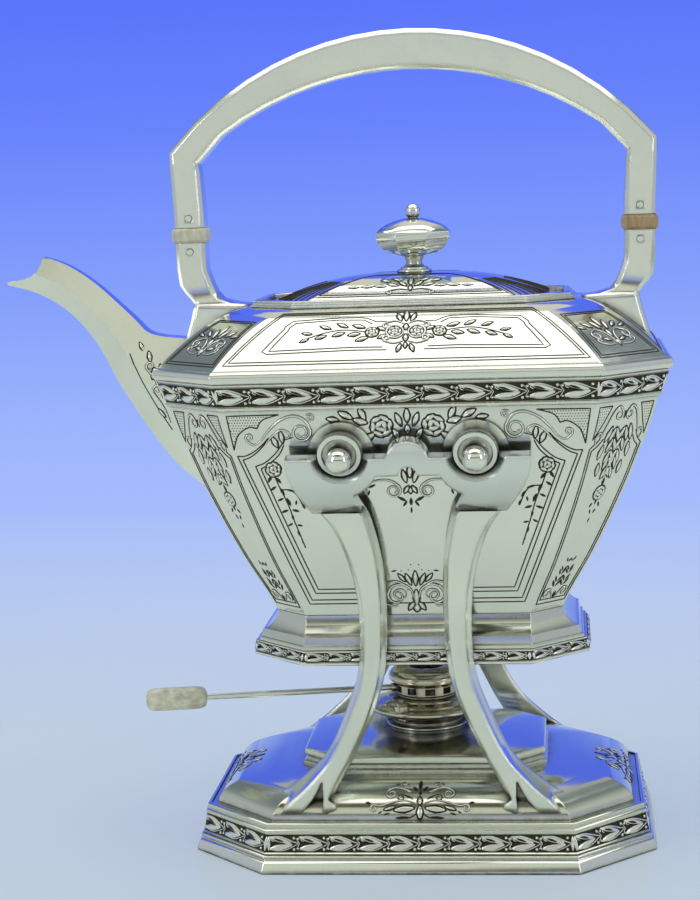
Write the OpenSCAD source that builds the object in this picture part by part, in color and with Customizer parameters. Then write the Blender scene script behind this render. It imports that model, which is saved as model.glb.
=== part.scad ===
// Spirit kettle on stand: a faceted kettle that rocks on a four-legged stand over a spirit lamp.
// The origin is the middle of the base's underside, the spout points along -X and +Z is up.

/* [Base] */
// Length of the base over its foot moulding
base_len = 193; // [184:1:202]
// Width of the base over its foot moulding
base_wid = 141; // [136:1:148]
// Cut of each corner of the base, measured along a side
base_cut = 32; // [28:1:36]
// Height of the plain foot moulding
base_foot_h = 7.4; // [6:0.2:9]
// Height of the leaf band over the foot moulding
base_band_h = 8.2; // [7:0.2:10]
// Height of the double bead over the leaf band
base_bead_h = 4.4; // [3.6:0.2:6]
// Height that the swelling sides rise
base_ogee_h = 13; // [10:0.5:16]
// Height of the stepped riser over the swelling sides
base_riser_h = 7.2; // [6:0.4:9]
// Length of the riser
riser_len = 100; // [92:1:108]
// Width of the riser
riser_wid = 76; // [70:1:80]
// Rise of the platform from its edge to the lamp
base_top_rise = 3.4; // [2:0.2:5]
// Wall of the sheet metal of the base
base_wall = 1.6; // [1.2:0.1:2]

/* [Stand frame] */
// Height of the kettle's pins over the table
pin_z = 172; // [166:1:180]
// Distance between the two pins of a side
pin_gap = 53.6; // [50:0.2:57]
// Length of each cradle bar
bar_len = 97; // [92:1:102]
// Thickness of each cradle bar
bar_t = 7; // [6:0.5:8]
// Radius of the hump in the middle of a cradle bar
hump_r = 8.6; // [7:0.2:10]
// Depth of a leg from its face to its back
leg_t = 7.4; // [6:0.2:9]
// Width of the bevel along each side of a leg
leg_bevel = 2.4; // [1.6:0.2:3]

/* [Kettle] */
// Height of the pins over the kettle's foot
pin_up = 90.4; // [87:0.5:94]
// Length of the kettle over its rim
rim_len = 211; // [204:1:220]
// Width of the kettle over its rim
rim_wid = 145; // [141:0.5:149]
// Cut of each corner of the kettle at its rim
rim_cut = 28.2; // [26:0.2:34]
// Length of the body at its waist
waist_len = 119; // [108:1:124]
// Width of the body at its waist
waist_wid = 81; // [77:1:85]
// Cut of each corner of the kettle at its waist
waist_cut = 13.2; // [12:0.2:21]
// Length of the foot ring
foot_len = 141; // [134:1:146]
// Width of the foot ring
foot_wid = 99; // [95:0.5:101]
// Height of the foot from the table side to the waist
foot_h = 19.4; // [17:0.2:22]
// Height of the leaf band on the foot ring
foot_band_h = 6; // [5:0.2:7.4]
// Height from the kettle's foot to the leaf band of the rim
body_h = 108; // [105:0.5:112]
// Height of the leaf band under the rim
rim_band_h = 11; // [9:0.5:13]
// Height of the rim's bead over its leaf band
rim_bead_h = 5; // [4:0.2:6]
// Rise of the shoulder from the rim to the lid
shoulder_h = 22.4; // [19:0.4:26]
// Wall of the sheet metal of the kettle
wall = 1.2; // [0.9:0.1:1.5]

/* [Trunnions] */
// Radius of the part of a trunnion that turns in its notch
journal_r = 9; // [8:0.2:9.6]
// Radius of the round plate that a trunnion stands on
plate_r = 13; // [12:0.2:14]
// Radius of the ball at the end of a trunnion
ball_r = 5.2; // [4.4:0.1:5.8]
// Space between the kettle's side and a cradle bar
bar_space = 5.2; // [4.9:0.1:6.4]
// Running clearance round a trunnion
run_gap = 0.05; // [0.02:0.01:0.1]

/* [Spout] */
// Reach of the spout's lip past the end of the rim
spout_reach = 69.5; // [64:0.5:74]
// Height of the spout's lip over the rim
spout_rise = 33; // [30:0.5:36]
// Width of the spout at its root
spout_root_w = 31; // [28:1:34]
// Width of the spout at its lip
spout_lip_w = 12; // [10:0.5:14]

/* [Lid] */
// Length of the lid
lid_len = 124; // [117:1:128]
// Width of the lid
lid_wid = 73; // [70:0.5:76]
// Cut of each corner of the lid
lid_cut = 16.5; // [14:0.5:19]
// Rise of the lid over its edge
lid_rise = 10.6; // [8:0.4:13]
// Height of the lid's ring moulding on the shoulder
bezel_h = 3; // [2.4:0.2:4]
// Clearance between the lid and the ring that it sits in
lid_gap = 0.4; // [0.3:0.05:0.6]
// Height of the finial over the lid
finial_h = 30.4; // [27:0.4:34]
// Radius of the finial's urn
urn_r = 15.6; // [14:0.2:17]
// Length of the hinge over its knuckles
hinge_len = 22; // [18:1:28]
// Radius of the hinge's knuckles
knuckle_r = 2.1; // [1.8:0.1:2.4]
// Radius of the hinge's pin
hinge_pin_r = 0.9; // [0.7:0.05:1.1]

/* [Handle] */
// Distance between the outer faces of the handle's legs
handle_span = 204; // [198:1:210]
// Height of the handle's crown over the rim of the body
handle_h = 135; // [128:1:142]
// Radius of the arch along its outer side
arch_r = 133; // [126:1:145]
// Width of a leg of the handle, seen from the front
leg_w = 13; // [11:0.5:15]
// Width of the arch at its crown, seen from the front
crown_w = 16.6; // [14:0.2:18]
// Depth of the handle from front to back
handle_d = 13; // [11:0.5:15]
// Height of each insulator
insulator_h = 6; // [5:0.2:7]
// Height of the insulators over the rim of the body
insulator_up = 55.4; // [48:0.2:60]
// Radius of the pins that hold the insulators
insulator_pin_r = 1.4; // [1.1:0.1:1.7]

/* [Lamp] */
// Radius of the lamp's foot, which sits in the socket
lamp_foot_r = 15.4; // [14:0.2:17]
// Radius of the widest part of the lamp
lamp_rim_r = 25; // [23:0.5:27]
// Height of the lamp's reservoir
font_h = 14.4; // [13:0.2:16]
// Height of the burner over the reservoir
burner_h = 11.6; // [10.6:0.2:13]
// Radius of the burner's fixed tube
gallery_r = 12; // [11:0.2:13]
// Radius of the burner's dome
dome_r = 16.4; // [15:0.2:18]
// Radius of the hole for the flame
flame_r = 7.4; // [6:0.2:8.4]
// Number of air windows round the burner
windows = 10; // [8:1:12]
// Height of each air window
window_h = 2.6; // [2:0.2:3]
// Length of the lever from the lamp's axis to the grip's end
lever_len = 121; // [115:0.5:128]
// Length of the lever's grip
grip_len = 26; // [22:1:30]
// Height of the lever's grip
grip_h = 9.6; // [8:0.2:11]
// Clearance between the lamp's foot and its socket
socket_gap = 0.1; // [0.05:0.01:0.15]

/* [Hidden] */

silver = [0.78, 0.79, 0.77];
dark_silver = [0.5, 0.5, 0.48];
bone = [0.86, 0.82, 0.68];
old_bone = [0.66, 0.58, 0.42];
cotton = [0.93, 0.91, 0.85];
diagonal = 2 - sqrt(2);
smooth = 72;
eps = 0.01;

// Heights of the base, from the table up
band_z = base_foot_h;
bead_z = band_z + base_band_h;
ledge_z = bead_z + base_bead_h;
riser_z = ledge_z + base_ogee_h;
platform_z = riser_z + base_riser_h;
seat_z = platform_z + base_top_rise;

// Octagons of the base as half length, half width and corner cut
base_oct = [base_len / 2, base_wid / 2, base_cut];
band_inset = 3.4;
bead_inset = 6.4;
ledge_inset = 9.2;
riser_cut = 15;
riser_oct = [riser_len / 2, riser_wid / 2, riser_cut];
collar_r = lamp_foot_r + 1.8;

// Heights of the kettle
k0 = pin_z - pin_up;
waist_z = k0 + foot_h;
rim_band_z = k0 + body_h;
rim_bead_z = rim_band_z + rim_band_h;
rim_z = rim_bead_z + rim_bead_h;
mouth_z = rim_z + shoulder_h;
lid_z = mouth_z + bezel_h;

// Octagons of the kettle
rim_oct = [rim_len / 2, rim_wid / 2, rim_cut];
waist_oct = [waist_len / 2, waist_wid / 2, waist_cut];
foot_oct = [foot_len / 2, foot_wid / 2, waist_cut + 10.3];
rim_overhang = 6.2;
body_oct = grow(rim_oct, -rim_overhang);
shoulder_oct = grow(rim_oct, -2.4);
lid_oct = [lid_len / 2, lid_wid / 2, lid_cut];
ring_w = 5.2;
lip_w = 2;
mouth_oct = grow(lid_oct, ring_w);

// How far the body has widened from its waist, 0 to 1, at each share of its height
swell = [
  [0, 0], [0.06, 0.068], [0.124, 0.147], [0.258, 0.318], [0.438, 0.515],
  [0.629, 0.705], [0.753, 0.812], [0.865, 0.911], [0.955, 0.976], [1, 1]
];
swell_line = curve(swell, 3);
body_tab = [for (s = swell_line) [waist_z + s[0] * (rim_band_z - waist_z), s[1]]];
function body_at(z) = blend_oct(waist_oct, body_oct, lookup(z, body_tab));

// The side of the body at the pins, and its slope there
pin_side = body_at(pin_z)[1];
lean = atan((body_at(pin_z + 8)[1] - body_at(pin_z - 8)[1]) / 16);
bar_y = pin_side + bar_space;

// The lamp's axis is the base's axis
rest_gap = 0.3;
font_z = seat_z + rest_gap;
burner_z = font_z + font_h;
lamp_top = burner_z + burner_h;

// Handle heights
crown_z = rim_z + handle_h;
insulator_z = rim_z + insulator_up;
leg_out = handle_span / 2 - 1;
leg_x = leg_out - leg_w / 2;
corner_z = crown_z - arch_r + sqrt(arch_r * arch_r - handle_span * handle_span / 4);

// Hinge line of the lid, behind the lid's ring
hinge_y = mouth_oct[1] + 0.8;
hinge_z = lid_z + 0.2;

// Corner points of an octagon whose corners are cut at 45 degrees
function oct(o) = [
  [-(o[0] - o[2]), -o[1]], [o[0] - o[2], -o[1]], [o[0], -(o[1] - o[2])], [o[0], o[1] - o[2]],
  [o[0] - o[2], o[1]], [-(o[0] - o[2]), o[1]], [-o[0], o[1] - o[2]], [-o[0], -(o[1] - o[2])]
];
// The same octagon moved outwards all round
function grow(o, d) = [o[0] + d, o[1] + d, o[2] + diagonal * d];
function blend_oct(p, q, t) = p + (q - p) * t;
function at_height(pts, z) = [for (p = pts) [p[0], p[1], z]];
// A smooth curve through its points
function through(a, b, c, d, t) =
  (2 * b + (c - a) * t + (2 * a - 5 * b + 4 * c - d) * t * t + (3 * b - a - 3 * c + d) * t * t * t) / 2;
function curve(p, n) = [
  for (i = [0 : len(p) - 2], k = [0 : n - 1])
    through(p[max(i - 1, 0)], p[i], p[i + 1], p[min(i + 2, len(p) - 1)], k / n),
  p[len(p) - 1]
];

// A solid between rings of equally many points
module skin(rings) {
  n = len(rings[0]);
  m = len(rings);
  polyhedron(
    points = [for (r = rings, p = r) p],
    faces = concat(
      [[for (j = [0 : n - 1]) j]],
      [for (i = [0 : m - 2], j = [0 : n - 1])
        [i * n + j, (i + 1) * n + j, (i + 1) * n + (j + 1) % n, i * n + (j + 1) % n]],
      [[for (j = [n - 1 : -1 : 0]) (m - 1) * n + j]]
    ),
    convexity = 6
  );
}

// A closed moulding swept round an octagon, its profile given as offset and height
module frame(o, profile) {
  m = len(profile);
  rings = [for (p = profile) at_height(oct(grow(o, p[0])), p[1])];
  polyhedron(
    points = [for (r = rings, p = r) p],
    faces = [for (i = [0 : m - 1], j = [0 : 7])
      [i * 8 + j, ((i + 1) % m) * 8 + j, ((i + 1) % m) * 8 + (j + 1) % 8, i * 8 + (j + 1) % 8]],
    convexity = 6
  );
}

// A solid through octagons given as [octagon, height]
module stack(levels) {
  skin([for (l = levels) at_height(oct(l[0]), l[1])]);
}

module both_ways() {
  children();
  mirror([0, 1, 0]) children();
}

// Octagons of the swelling side, from the ledge up to the riser
ogee_steps = 9;
function ogee(low, high, z0) = [
  for (i = [0 : ogee_steps])
    let (t = 90 * i / ogee_steps)
    [blend_oct(low, high, 1 - cos(t)), z0 + base_ogee_h * sin(t)]
];
ledge_oct = grow(base_oct, -ledge_inset);
ledge_drop = 0.6;

module base_outer() {
  side = grow(base_oct, -bead_inset);
  stack(concat(
    [[side, 1.5], [side, ledge_z - ledge_drop], [ledge_oct, ledge_z - ledge_drop]],
    ogee(ledge_oct, grow(riser_oct, 1.6), ledge_z),
    [
      [grow(riser_oct, 1.6), riser_z + 1.4], [grow(riser_oct, 0.2), riser_z + 2.2],
      [grow(riser_oct, 0.2), riser_z + 3.8], [grow(riser_oct, 1), riser_z + 4.4],
      [grow(riser_oct, 1), platform_z - 0.6], [grow(riser_oct, 0.4), platform_z],
      [grow(riser_oct, -1.4), platform_z + 0.5],
      [[collar_r + 9, collar_r + 5, 11], seat_z], [[collar_r, collar_r, 9], seat_z]
    ]
  ));
}

module base_inner() {
  side = grow(base_oct, -bead_inset - base_wall);
  under = grow(riser_oct, -base_wall);
  stack(concat(
    [[side, -1], [side, ledge_z - 1 - base_wall]],
    ogee(grow(ledge_oct, -base_wall), under, ledge_z - base_wall),
    [[under, platform_z - base_wall], [[collar_r + 8, collar_r + 4, 10], seat_z - base_wall]]
  ));
}

module base_dome() {
  color(silver) difference() {
    base_outer();
    base_inner();
  }
}

module base_foot_moulding() {
  color(silver) frame(base_oct, [
    [-bead_inset, 0], [-0.4, 0], [0, 0.4], [0, 1.4], [-1.2, 4.4], [-2.2, 5.2], [-2.2, 5.7],
    [-1.8, 6.1], [-1.8, 6.8], [-2.4, base_foot_h], [-bead_inset, base_foot_h]
  ]);
}

module base_leaf_band() {
  inner = -bead_inset;
  color(silver) frame(base_oct, [
    [inner, band_z], [-band_inset + 0.4, band_z], [-band_inset + 0.7, band_z + 0.5],
    [-band_inset + 0.1, band_z + 1], [-band_inset, band_z + 2],
    [-band_inset - 1, bead_z - 1], [-band_inset - 1.1, bead_z], [-4.2, bead_z + 0.5],
    [-4.2, bead_z + 1.5], [-5, bead_z + 2], [-5.1, bead_z + 2.4],
    [-4.9, bead_z + 2.9], [-4.9, ledge_z - 0.4], [-5.4, ledge_z], [inner, ledge_z]
  ]);
}

module lamp_socket() {
  up = 2.6;
  color(silver) translate([0, 0, seat_z]) rotate_extrude($fn = smooth) polygon([
    [lamp_foot_r + socket_gap, 0], [collar_r, 0], [collar_r, up - 1.2], [collar_r + 0.5, up - 0.8],
    [collar_r + 0.5, up - 0.2], [collar_r, up], [lamp_foot_r + socket_gap, up]
  ]);
}

// Right leg, seen from the front, from the base to the cradle bar.
// Each row: share of the height, inner edge, outer edge, both from the middle of the stand
leg_rows = [
  [0, 32.5, 58.5], [0.015, 36, 58], [0.031, 35, 57.4], [0.042, 32, 56.5], [0.057, 32.5, 54.6],
  [0.069, 35, 53.2], [0.084, 34.5, 51], [0.107, 33, 48], [0.15, 30, 43.2], [0.19, 27, 39],
  [0.25, 23.2, 34.8], [0.3, 20, 31.8], [0.36, 16.9, 28.6], [0.43, 14, 25.2], [0.5, 12.4, 23.4],
  [0.58, 11.7, 22.8], [0.66, 11.4, 23], [0.74, 11.6, 24.1], [0.82, 12.3, 26.3], [0.88, 13.5, 28.8],
  [0.93, 14.9, 31.6], [0.97, 16.3, 35.2], [1, 18.2, 38.8]
];
bar_low = -22;
leg_top_z = pin_z + bar_low;
// Back face of a leg at each share of its height
foot_y = ledge_oct[1] - 8;
leg_clear_y = foot_wid / 2 + 2.6;
top_back_y = bar_y - (pin_z - leg_top_z) * tan(lean);
leg_back = [
  [0, foot_y], [0.1, foot_y], [0.3, max(leg_clear_y, foot_y - 1)], [0.6, leg_clear_y],
  [0.72, leg_clear_y + 0.8], [0.86, (leg_clear_y + top_back_y) / 2 + 0.6], [1, top_back_y]
];
leg_shift = (pin_gap - 53.6) / 2;

// Towards its foot the outer flank of a leg spreads into a wing along the cut corner
wing_reach = 12;
wing_rise = 0.27;
function leg_ring(s) =
  let (
    z = ledge_z - 1 + s[0] * (leg_top_z - ledge_z + 1),
    back = -lookup(s[0], leg_back),
    front = back - leg_t / cos(lean),
    x0 = s[1] + leg_shift, x1 = s[2] + leg_shift,
    cove = (front - back) * 0.55 + back,
    f = pow(max(0, 1 - s[0] / wing_rise), 2), g = 1 - f
  )
  [
    [x0, back, z], [x0, back - 1.4, z], [x0 + leg_bevel * 0.9, cove, z], [x0 + leg_bevel, front, z],
    [x1 - leg_bevel * g, front, z],
    [x1 - leg_bevel * 0.9 * g + wing_reach * 0.4 * f, cove * g + (front + wing_reach * 0.54) * f, z],
    [x1 + wing_reach * f, (back - 1.4) * g + (front + wing_reach + 1) * f, z],
    [x1 + (wing_reach - 3) * f, back * g + (front + wing_reach + 4) * f, z]
  ];

// A three-cornered pocket in the face of the foot
module foot_pocket() {
  face = -leg_back[0][1] - leg_t / cos(lean);
  translate([leg_shift, face + 3.6, ledge_z]) rotate([90, 0, 0]) linear_extrude(10) polygon([
    [39.8, 3], [48.6, 3.2], [46.8, 5], [44.2, 8], [42, 11.6], [40.2, 15.6], [39.4, 15.8], [39.2, 9]
  ]);
}

module leg() {
  color(silver) difference() {
    skin([for (s = curve(leg_rows, 2)) leg_ring(s)]);
    foot_pocket();
    base_outer();
    on_bar() translate([0, bar_low / cos(lean), -20]) cube([80, 30, 40]);
  }
}

module leg_front_right() { leg(); }
module leg_front_left() { mirror([1, 0, 0]) leg(); }
module leg_back_right() { mirror([0, 1, 0]) leg(); }
module leg_back_left() { mirror([1, 0, 0]) mirror([0, 1, 0]) leg(); }

// Right half of a cradle bar's outline, as x and height over the pins
bar_half = [
  [0, -3.5], [1.9, -3.9], [3.3, -5.4], [3.7, -7.2], [12.6, -7.2], [14.2, -9.9], [16.6, -12.4],
  [19.4, -14.3], [21.6, -15.1], [19.9, -18.8], [18.2, bar_low], [38.8, bar_low], [41.6, -18.4],
  [44, -14.9], [46, -11.4], [47.6, -7.4], [48.4, -3.8], [48.5, 0]
];
bar_shift = pin_gap / 2 - 26.8;
bar_grow = bar_len / 2 - 48.5;
function bar_x(x) = x < 5 ? x : x + (x > 46 ? bar_grow : bar_shift);
bar_right = [for (p = bar_half) [bar_x(p[0]), p[1] / cos(lean)]];
bar_hump = [
  for (i = [0 : 12])
    let (t = 10 + 160 * i / 12)
    [hump_r * cos(t), hump_r * (sin(t) - sin(10))]
];

// Places a child in the plane of the front bar's back face, its own Z pointing outwards
module on_bar() {
  translate([0, -bar_y, pin_z]) rotate([90 + lean, 0, 0]) children();
}

module cradle_front() {
  n = len(bar_right);
  bore_r = journal_r + run_gap;
  notch_bevel = 0.45 * bar_t;
  color(silver) difference() {
    on_bar() linear_extrude(bar_t) polygon(concat(
      bar_right, bar_hump, [for (i = [n - 1 : -1 : 1]) [-bar_right[i][0], bar_right[i][1]]]
    ));
    for (s = [-1, 1]) {
      translate([s * pin_gap / 2, 0, pin_z]) rotate([90, 0, 0]) cylinder(r = bore_r, h = 120, $fn = smooth);
      on_bar() translate([s * pin_gap / 2, bar_t * tan(lean), bar_t - notch_bevel])
        cylinder(r1 = bore_r, r2 = bore_r + notch_bevel + 0.6, h = notch_bevel + 0.6, $fn = smooth);
    }
  }
}
module cradle_back() { mirror([0, 1, 0]) cradle_front(); }

// The kettle's outside from its waist up to the seam under the rim
seam_z = rim_z - 2.5;
module body_outer() {
  stack(concat(
    [for (s = body_tab) [blend_oct(waist_oct, body_oct, s[1]), s[0]]],
    [[body_oct, seam_z]]
  ));
}

// Middle and radius of the hole behind the spout
hole_z = waist_z + 0.85 * (rim_band_z - waist_z);
hole_r = 10.5;
module spout_hole() {
  translate([-body_oct[0] - 20, 0, hole_z]) rotate([0, 90, 0]) cylinder(r = hole_r, h = 40, $fn = smooth);
}

module body_shell() {
  difference() {
    body_outer();
    stack(concat(
      [for (s = body_tab) [grow(blend_oct(waist_oct, body_oct, s[1]), -wall), max(s[0], waist_z + wall)]],
      [[grow(body_oct, -wall), seam_z + 1]]
    ));
  }
}

module kettle_body() {
  color(silver) difference() {
    body_shell();
    spout_hole();
  }
}

// A pierced plate that fills the hole behind the spout
module spout_strainer() {
  pierce_r = 1.1;
  color(silver) difference() {
    intersection() {
      body_shell();
      spout_hole();
    }
    for (ring = [0 : 2], k = [0 : max(ring * 6 - 1, 0)])
      translate([-body_oct[0] - 20, 0, hole_z])
        rotate([360 * k / max(ring * 6, 1), 0, 0]) translate([0, ring * hole_r * 0.31, 0])
          rotate([0, 90, 0]) cylinder(r = pierce_r, h = 40, $fn = 14);
  }
}

// The shoulder, a shallow swelling roof
shoulder_steps = 10;
function shoulder_line(d0, d1, dz) = [
  for (i = [0 : shoulder_steps])
    let (t = i / shoulder_steps)
    [
      blend_oct(grow(shoulder_oct, d0), grow(mouth_oct, d1), t),
      rim_z + dz + shoulder_h * (1 - pow(1 - t, 1.7))
    ]
];
module shoulder_outer() {
  stack(concat([[shoulder_oct, seam_z]], shoulder_line(0, 0, 0)));
}

module kettle_shoulder() {
  color(silver) difference() {
    shoulder_outer();
    stack(concat(
      [[grow(body_oct, -wall), seam_z - 1], [grow(body_oct, -wall), seam_z + wall]],
      shoulder_line(-3, -1, -wall)
    ));
    stack([[grow(lid_oct, -lip_w), rim_z + 5], [grow(lid_oct, -lip_w), mouth_z + 1]]);
  }
}

module rim_leaf_band() {
  inner = -rim_overhang;
  color(silver) frame(rim_oct, [
    [inner, rim_band_z], [-5.2, rim_band_z], [-4.6, rim_band_z + 0.4], [-4.6, rim_band_z + 1.2],
    [-5, rim_band_z + 1.7], [-4.8, rim_band_z + 2.5], [-3.9, rim_band_z + 5],
    [-2.6, rim_bead_z - 3], [-1.9, rim_bead_z - 1.4], [-2.3, rim_bead_z - 1],
    [-1.9, rim_bead_z - 0.4], [-2.1, rim_bead_z], [inner, rim_bead_z]
  ]);
}

module rim_bead() {
  color(silver) frame(rim_oct, [
    [-rim_overhang, rim_bead_z], [-1.3, rim_bead_z], [-0.4, rim_bead_z + 0.7],
    [0, rim_bead_z + 1.8], [0, rim_z - 2.2], [-0.5, rim_z - 1], [-1.4, rim_z - 0.2], [-2.4, rim_z],
    [-2.4, seam_z], [-rim_overhang, seam_z]
  ]);
}

foot_step = 3.4;
module kettle_foot() {
  top = k0 + foot_band_h;
  flare = [
    [0, 0], [0.02, 1.5], [0.1, 4], [0.33, 6.5], [0.53, 8], [0.62, 8.1], [0.68, 11.4], [0.78, 11.8]
  ];
  scale_h = (foot_h - foot_band_h) / 13.4;
  under = grow(foot_oct, -foot_step - 1.2);
  color(silver) difference() {
    stack(concat(
      [[grow(foot_oct, -foot_step), k0 + 0.4], [grow(foot_oct, -foot_step), top]],
      [[blend_oct(waist_oct, foot_oct, 0.8), top]],
      [for (i = [len(flare) - 1 : -1 : 0])
        [blend_oct(waist_oct, foot_oct, flare[i][0]), waist_z - scale_h * flare[i][1]]]
    ));
    stack([
      [under, k0 - 1], [under, top + 2.4],
      [grow(blend_oct(waist_oct, foot_oct, 0.3), -1), waist_z - 7 * scale_h],
      [grow(waist_oct, -1.4), waist_z - 4 * scale_h], [grow(waist_oct, -1.4), waist_z + 1]
    ]);
  }
}

module foot_leaf_band() {
  top = k0 + foot_band_h;
  color(silver) frame(foot_oct, [
    [-foot_step, k0], [-0.5, k0], [0, k0 + 0.5], [0, k0 + 1.2], [-0.5, k0 + 1.6],
    [-0.1, k0 + 2.4], [-0.6, top - 1.2], [-1.1, top - 0.7], [-1.1, top], [-foot_step, top]
  ]);
}

// Sections of the spout along its length: lower edge, upper edge, half width.
// The first two lie inside the kettle's end
lip_x = -(rim_oct[0] + spout_reach);
spout_dx = lip_x + 175.5;
spout_dz = rim_z + spout_rise - 239;
root_w = spout_root_w / 2;
lip_w2 = spout_lip_w / 2;
// Rows: share of the way to the lip, lower x and z, upper x and z, share of the narrowing
spout_rows = [
  [0, -78, 138, -84, 213.6, -0.06], [0, -93.4, 151.7, -98, 214.6, 0], [0.1, -103.9, 160.6, -104, 215.2, 0.08],
  [0.25, -116.3, 177, -109, 215.9, 0.22], [0.4, -128.5, 196.8, -114.9, 217.9, 0.41],
  [0.52, -134.3, 208.5, -120, 223.2, 0.58], [0.64, -140.5, 218, -128, 231, 0.71],
  [0.76, -148.5, 226.8, -137.5, 239.6, 0.82], [0.86, -157, 232.8, -148.5, 247, 0.9],
  [0.94, -166, 236.9, -159.5, 251, 0.96], [1, -177, 239.8, -172, 252, 1]
];
function spout_ring(s, t) =
  let (
    dx = s[0] * spout_dx, dz = s[0] * spout_dz,
    lx = s[1] + dx, lz = s[2] + dz, ux = s[3] + dx, uz = s[4] + dz,
    l = norm([ux - lx, uz - lz]), ex = (ux - lx) / l, ez = (uz - lz) / l,
    w = root_w + (lip_w2 - root_w) * s[5] - t,
    k = l - 2 * t
  )
  [for (q = [[0.5, -1], [1, -0.44], [1, 0.44], [0.5, 1], [0, 0.36], [0, -0.36]])
    [lx + ex * (t + k * q[0]), w * q[1], lz + ez * (t + k * q[0])]];
spout_line = curve(spout_rows, 3);

module kettle_outside() {
  body_outer();
  shoulder_outer();
  rim_leaf_band();
  rim_bead();
}

module spout() {
  n = len(spout_line);
  past = [for (s = [spout_line[n - 1]]) [s[0], s[1] - 4, s[2] + 0.8, s[3] - 4, s[4] + 0.8, s[5]]];
  mx = spout_dx;
  mz = spout_dz;
  color(silver) difference() {
    skin([for (s = spout_line) spout_ring(s, 0)]);
    skin([for (s = concat(spout_line, past)) spout_ring(s, wall)]);
    translate([mx, 0, mz]) rotate([90, 0, 0]) translate([0, 0, -30]) linear_extrude(60) polygon([
      [-158.4, 256], [-159.3, 251.4], [-160.2, 248], [-161.6, 245.2], [-164, 243.2], [-168, 241.8],
      [-173, 240.9], [-180, 240.4], [-195, 240.4], [-195, 270], [-158.4, 270]
    ]);
    translate([lip_x, 0, 0]) translate([-30, -30, 0]) cube([30, 60, 400]);
    kettle_outside();
    mirror([1, 0, 0]) bracket_body();
  }
}

// A trunnion: a plate on the kettle's side, a turned pin in the notch and a ball
module trunnion() {
  plate_t = 1.5;
  pin_end = 2.6;
  color(silver) difference() {
    translate([pin_gap / 2, 0, 0]) union() {
      translate([0, -pin_side, pin_z]) rotate([90 + lean, 0, 0]) translate([0, 0, -6])
        cylinder(r = plate_r, h = 6 + plate_t, $fn = smooth);
      intersection() {
        translate([0, 0, pin_z]) rotate([90, 0, 0]) cylinder(r = journal_r, h = 120, $fn = smooth);
        on_bar() translate([-20, -20, -22]) cube([40, 40, 22 + pin_end]);
      }
      on_bar() {
        cylinder(r = journal_r - 1.4, h = pin_end + 0.8, $fn = smooth);
        translate([0, (pin_end + 0.8) * tan(lean), pin_end + 0.4]) difference() {
          cylinder(r = journal_r - 0.4, h = 1.6, $fn = smooth);
          translate([0, 0, 0.7]) cylinder(r = journal_r - 2, h = 2, $fn = smooth);
        }
        cylinder(r = ball_r * 0.5, h = pin_end + 4, $fn = 36);
        translate([0, 0, pin_end + 5.6]) sphere(r = ball_r, $fn = 40);
      }
    }
    body_outer();
  }
}
module trunnion_front_right() { trunnion(); }
module trunnion_front_left() { mirror([1, 0, 0]) trunnion(); }
module trunnion_back_right() { mirror([0, 1, 0]) trunnion(); }
module trunnion_back_left() { mirror([1, 0, 0]) mirror([0, 1, 0]) trunnion(); }

// A bevelled bar section between an inner and an outer point, with a half depth
function bar_ring(xi, zi, xo, zo, h, bev) =
  let (l = norm([xo - xi, zo - zi]), ex = (xo - xi) / l * bev, ez = (zo - zi) / l * bev)
  [
    [xi, -h + bev, zi], [xi + ex, -h, zi + ez], [xo - ex, -h, zo - ez], [xo, -h + bev, zo],
    [xo, h - bev, zo], [xo - ex, h, zo - ez], [xi + ex, h, zi + ez], [xi, h - bev, zi]
  ];
handle_h2 = handle_d / 2;
leg_in = leg_out - leg_w;
bevel = 2;

// Tenons of an insulator and the height of each pin over and under it
tenon_w = leg_w - 6;
tenon_d = handle_d - 5;
pin_off = 4;
tenon_l = 8.4;
module tenons() {
  translate([leg_x - tenon_w / 2, -tenon_d / 2, insulator_z - insulator_h - tenon_l])
    cube([tenon_w, tenon_d, insulator_h + 2 * tenon_l]);
}
insulator_low = insulator_z - insulator_h;
module cross_pins(extra) {
  for (z = [insulator_low - pin_off, insulator_z + pin_off])
    translate([leg_x, handle_h2 + extra, z]) rotate([90, 0, 0])
      cylinder(r = insulator_pin_r, h = handle_d + 2 * extra, $fn = 28);
}

// The bracket that carries a leg of the handle, from the shoulder up to the insulator
module bracket_body() {
  rise = insulator_low - mouth_z;
  rows = [
    [-22, -19, -2, 9.6], [-14, -19, -3.4, 9.6], [-6, -19, -5.8, 9.6], [-1, -18.4, -7, 9.4],
    [0.4, -17.6, -7.3, 9], [1, -12.4, -7.4, 8.2], [2.8, -6.2, -6, 7.5], [5.6, -4, -3.4, 7],
    [9, -2.4, -1.2, 6.6], [15, -0.3, -0.4, 6.5], [rise - 5, 0, 0, 6.5], [rise, 0, 0, 6.5]
  ];
  skin([for (s = rows)
    bar_ring(leg_in + s[1], mouth_z + s[0], leg_out + s[2], mouth_z + s[0],
      s[3] + handle_h2 - 6.5, bevel)]);
}
module handle_bracket() {
  color(silver) difference() {
    bracket_body();
    shoulder_outer();
    translate([0, 0, -0.4]) tenons();
    tenons();
    cross_pins(1);
  }
}
module handle_bracket_right() { handle_bracket(); }
module handle_bracket_left() { mirror([1, 0, 0]) handle_bracket(); }

module insulator(tint) {
  out = 1;
  color(tint) difference() {
    union() {
      skin([for (s = [[0, 0.2], [1, out], [insulator_h - 1, out], [insulator_h, 0.2]])
        bar_ring(leg_in - s[1], insulator_low + s[0], leg_out + s[1], insulator_low + s[0],
          handle_h2 + s[1], bevel)]);
      tenons();
    }
    cross_pins(1);
  }
}
module insulator_right() { insulator(old_bone); }
module insulator_left() { mirror([1, 0, 0]) insulator(bone); }

module insulator_pins() {
  color(dark_silver) {
    cross_pins(0.3);
    mirror([1, 0, 0]) cross_pins(0.3);
  }
}

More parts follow.
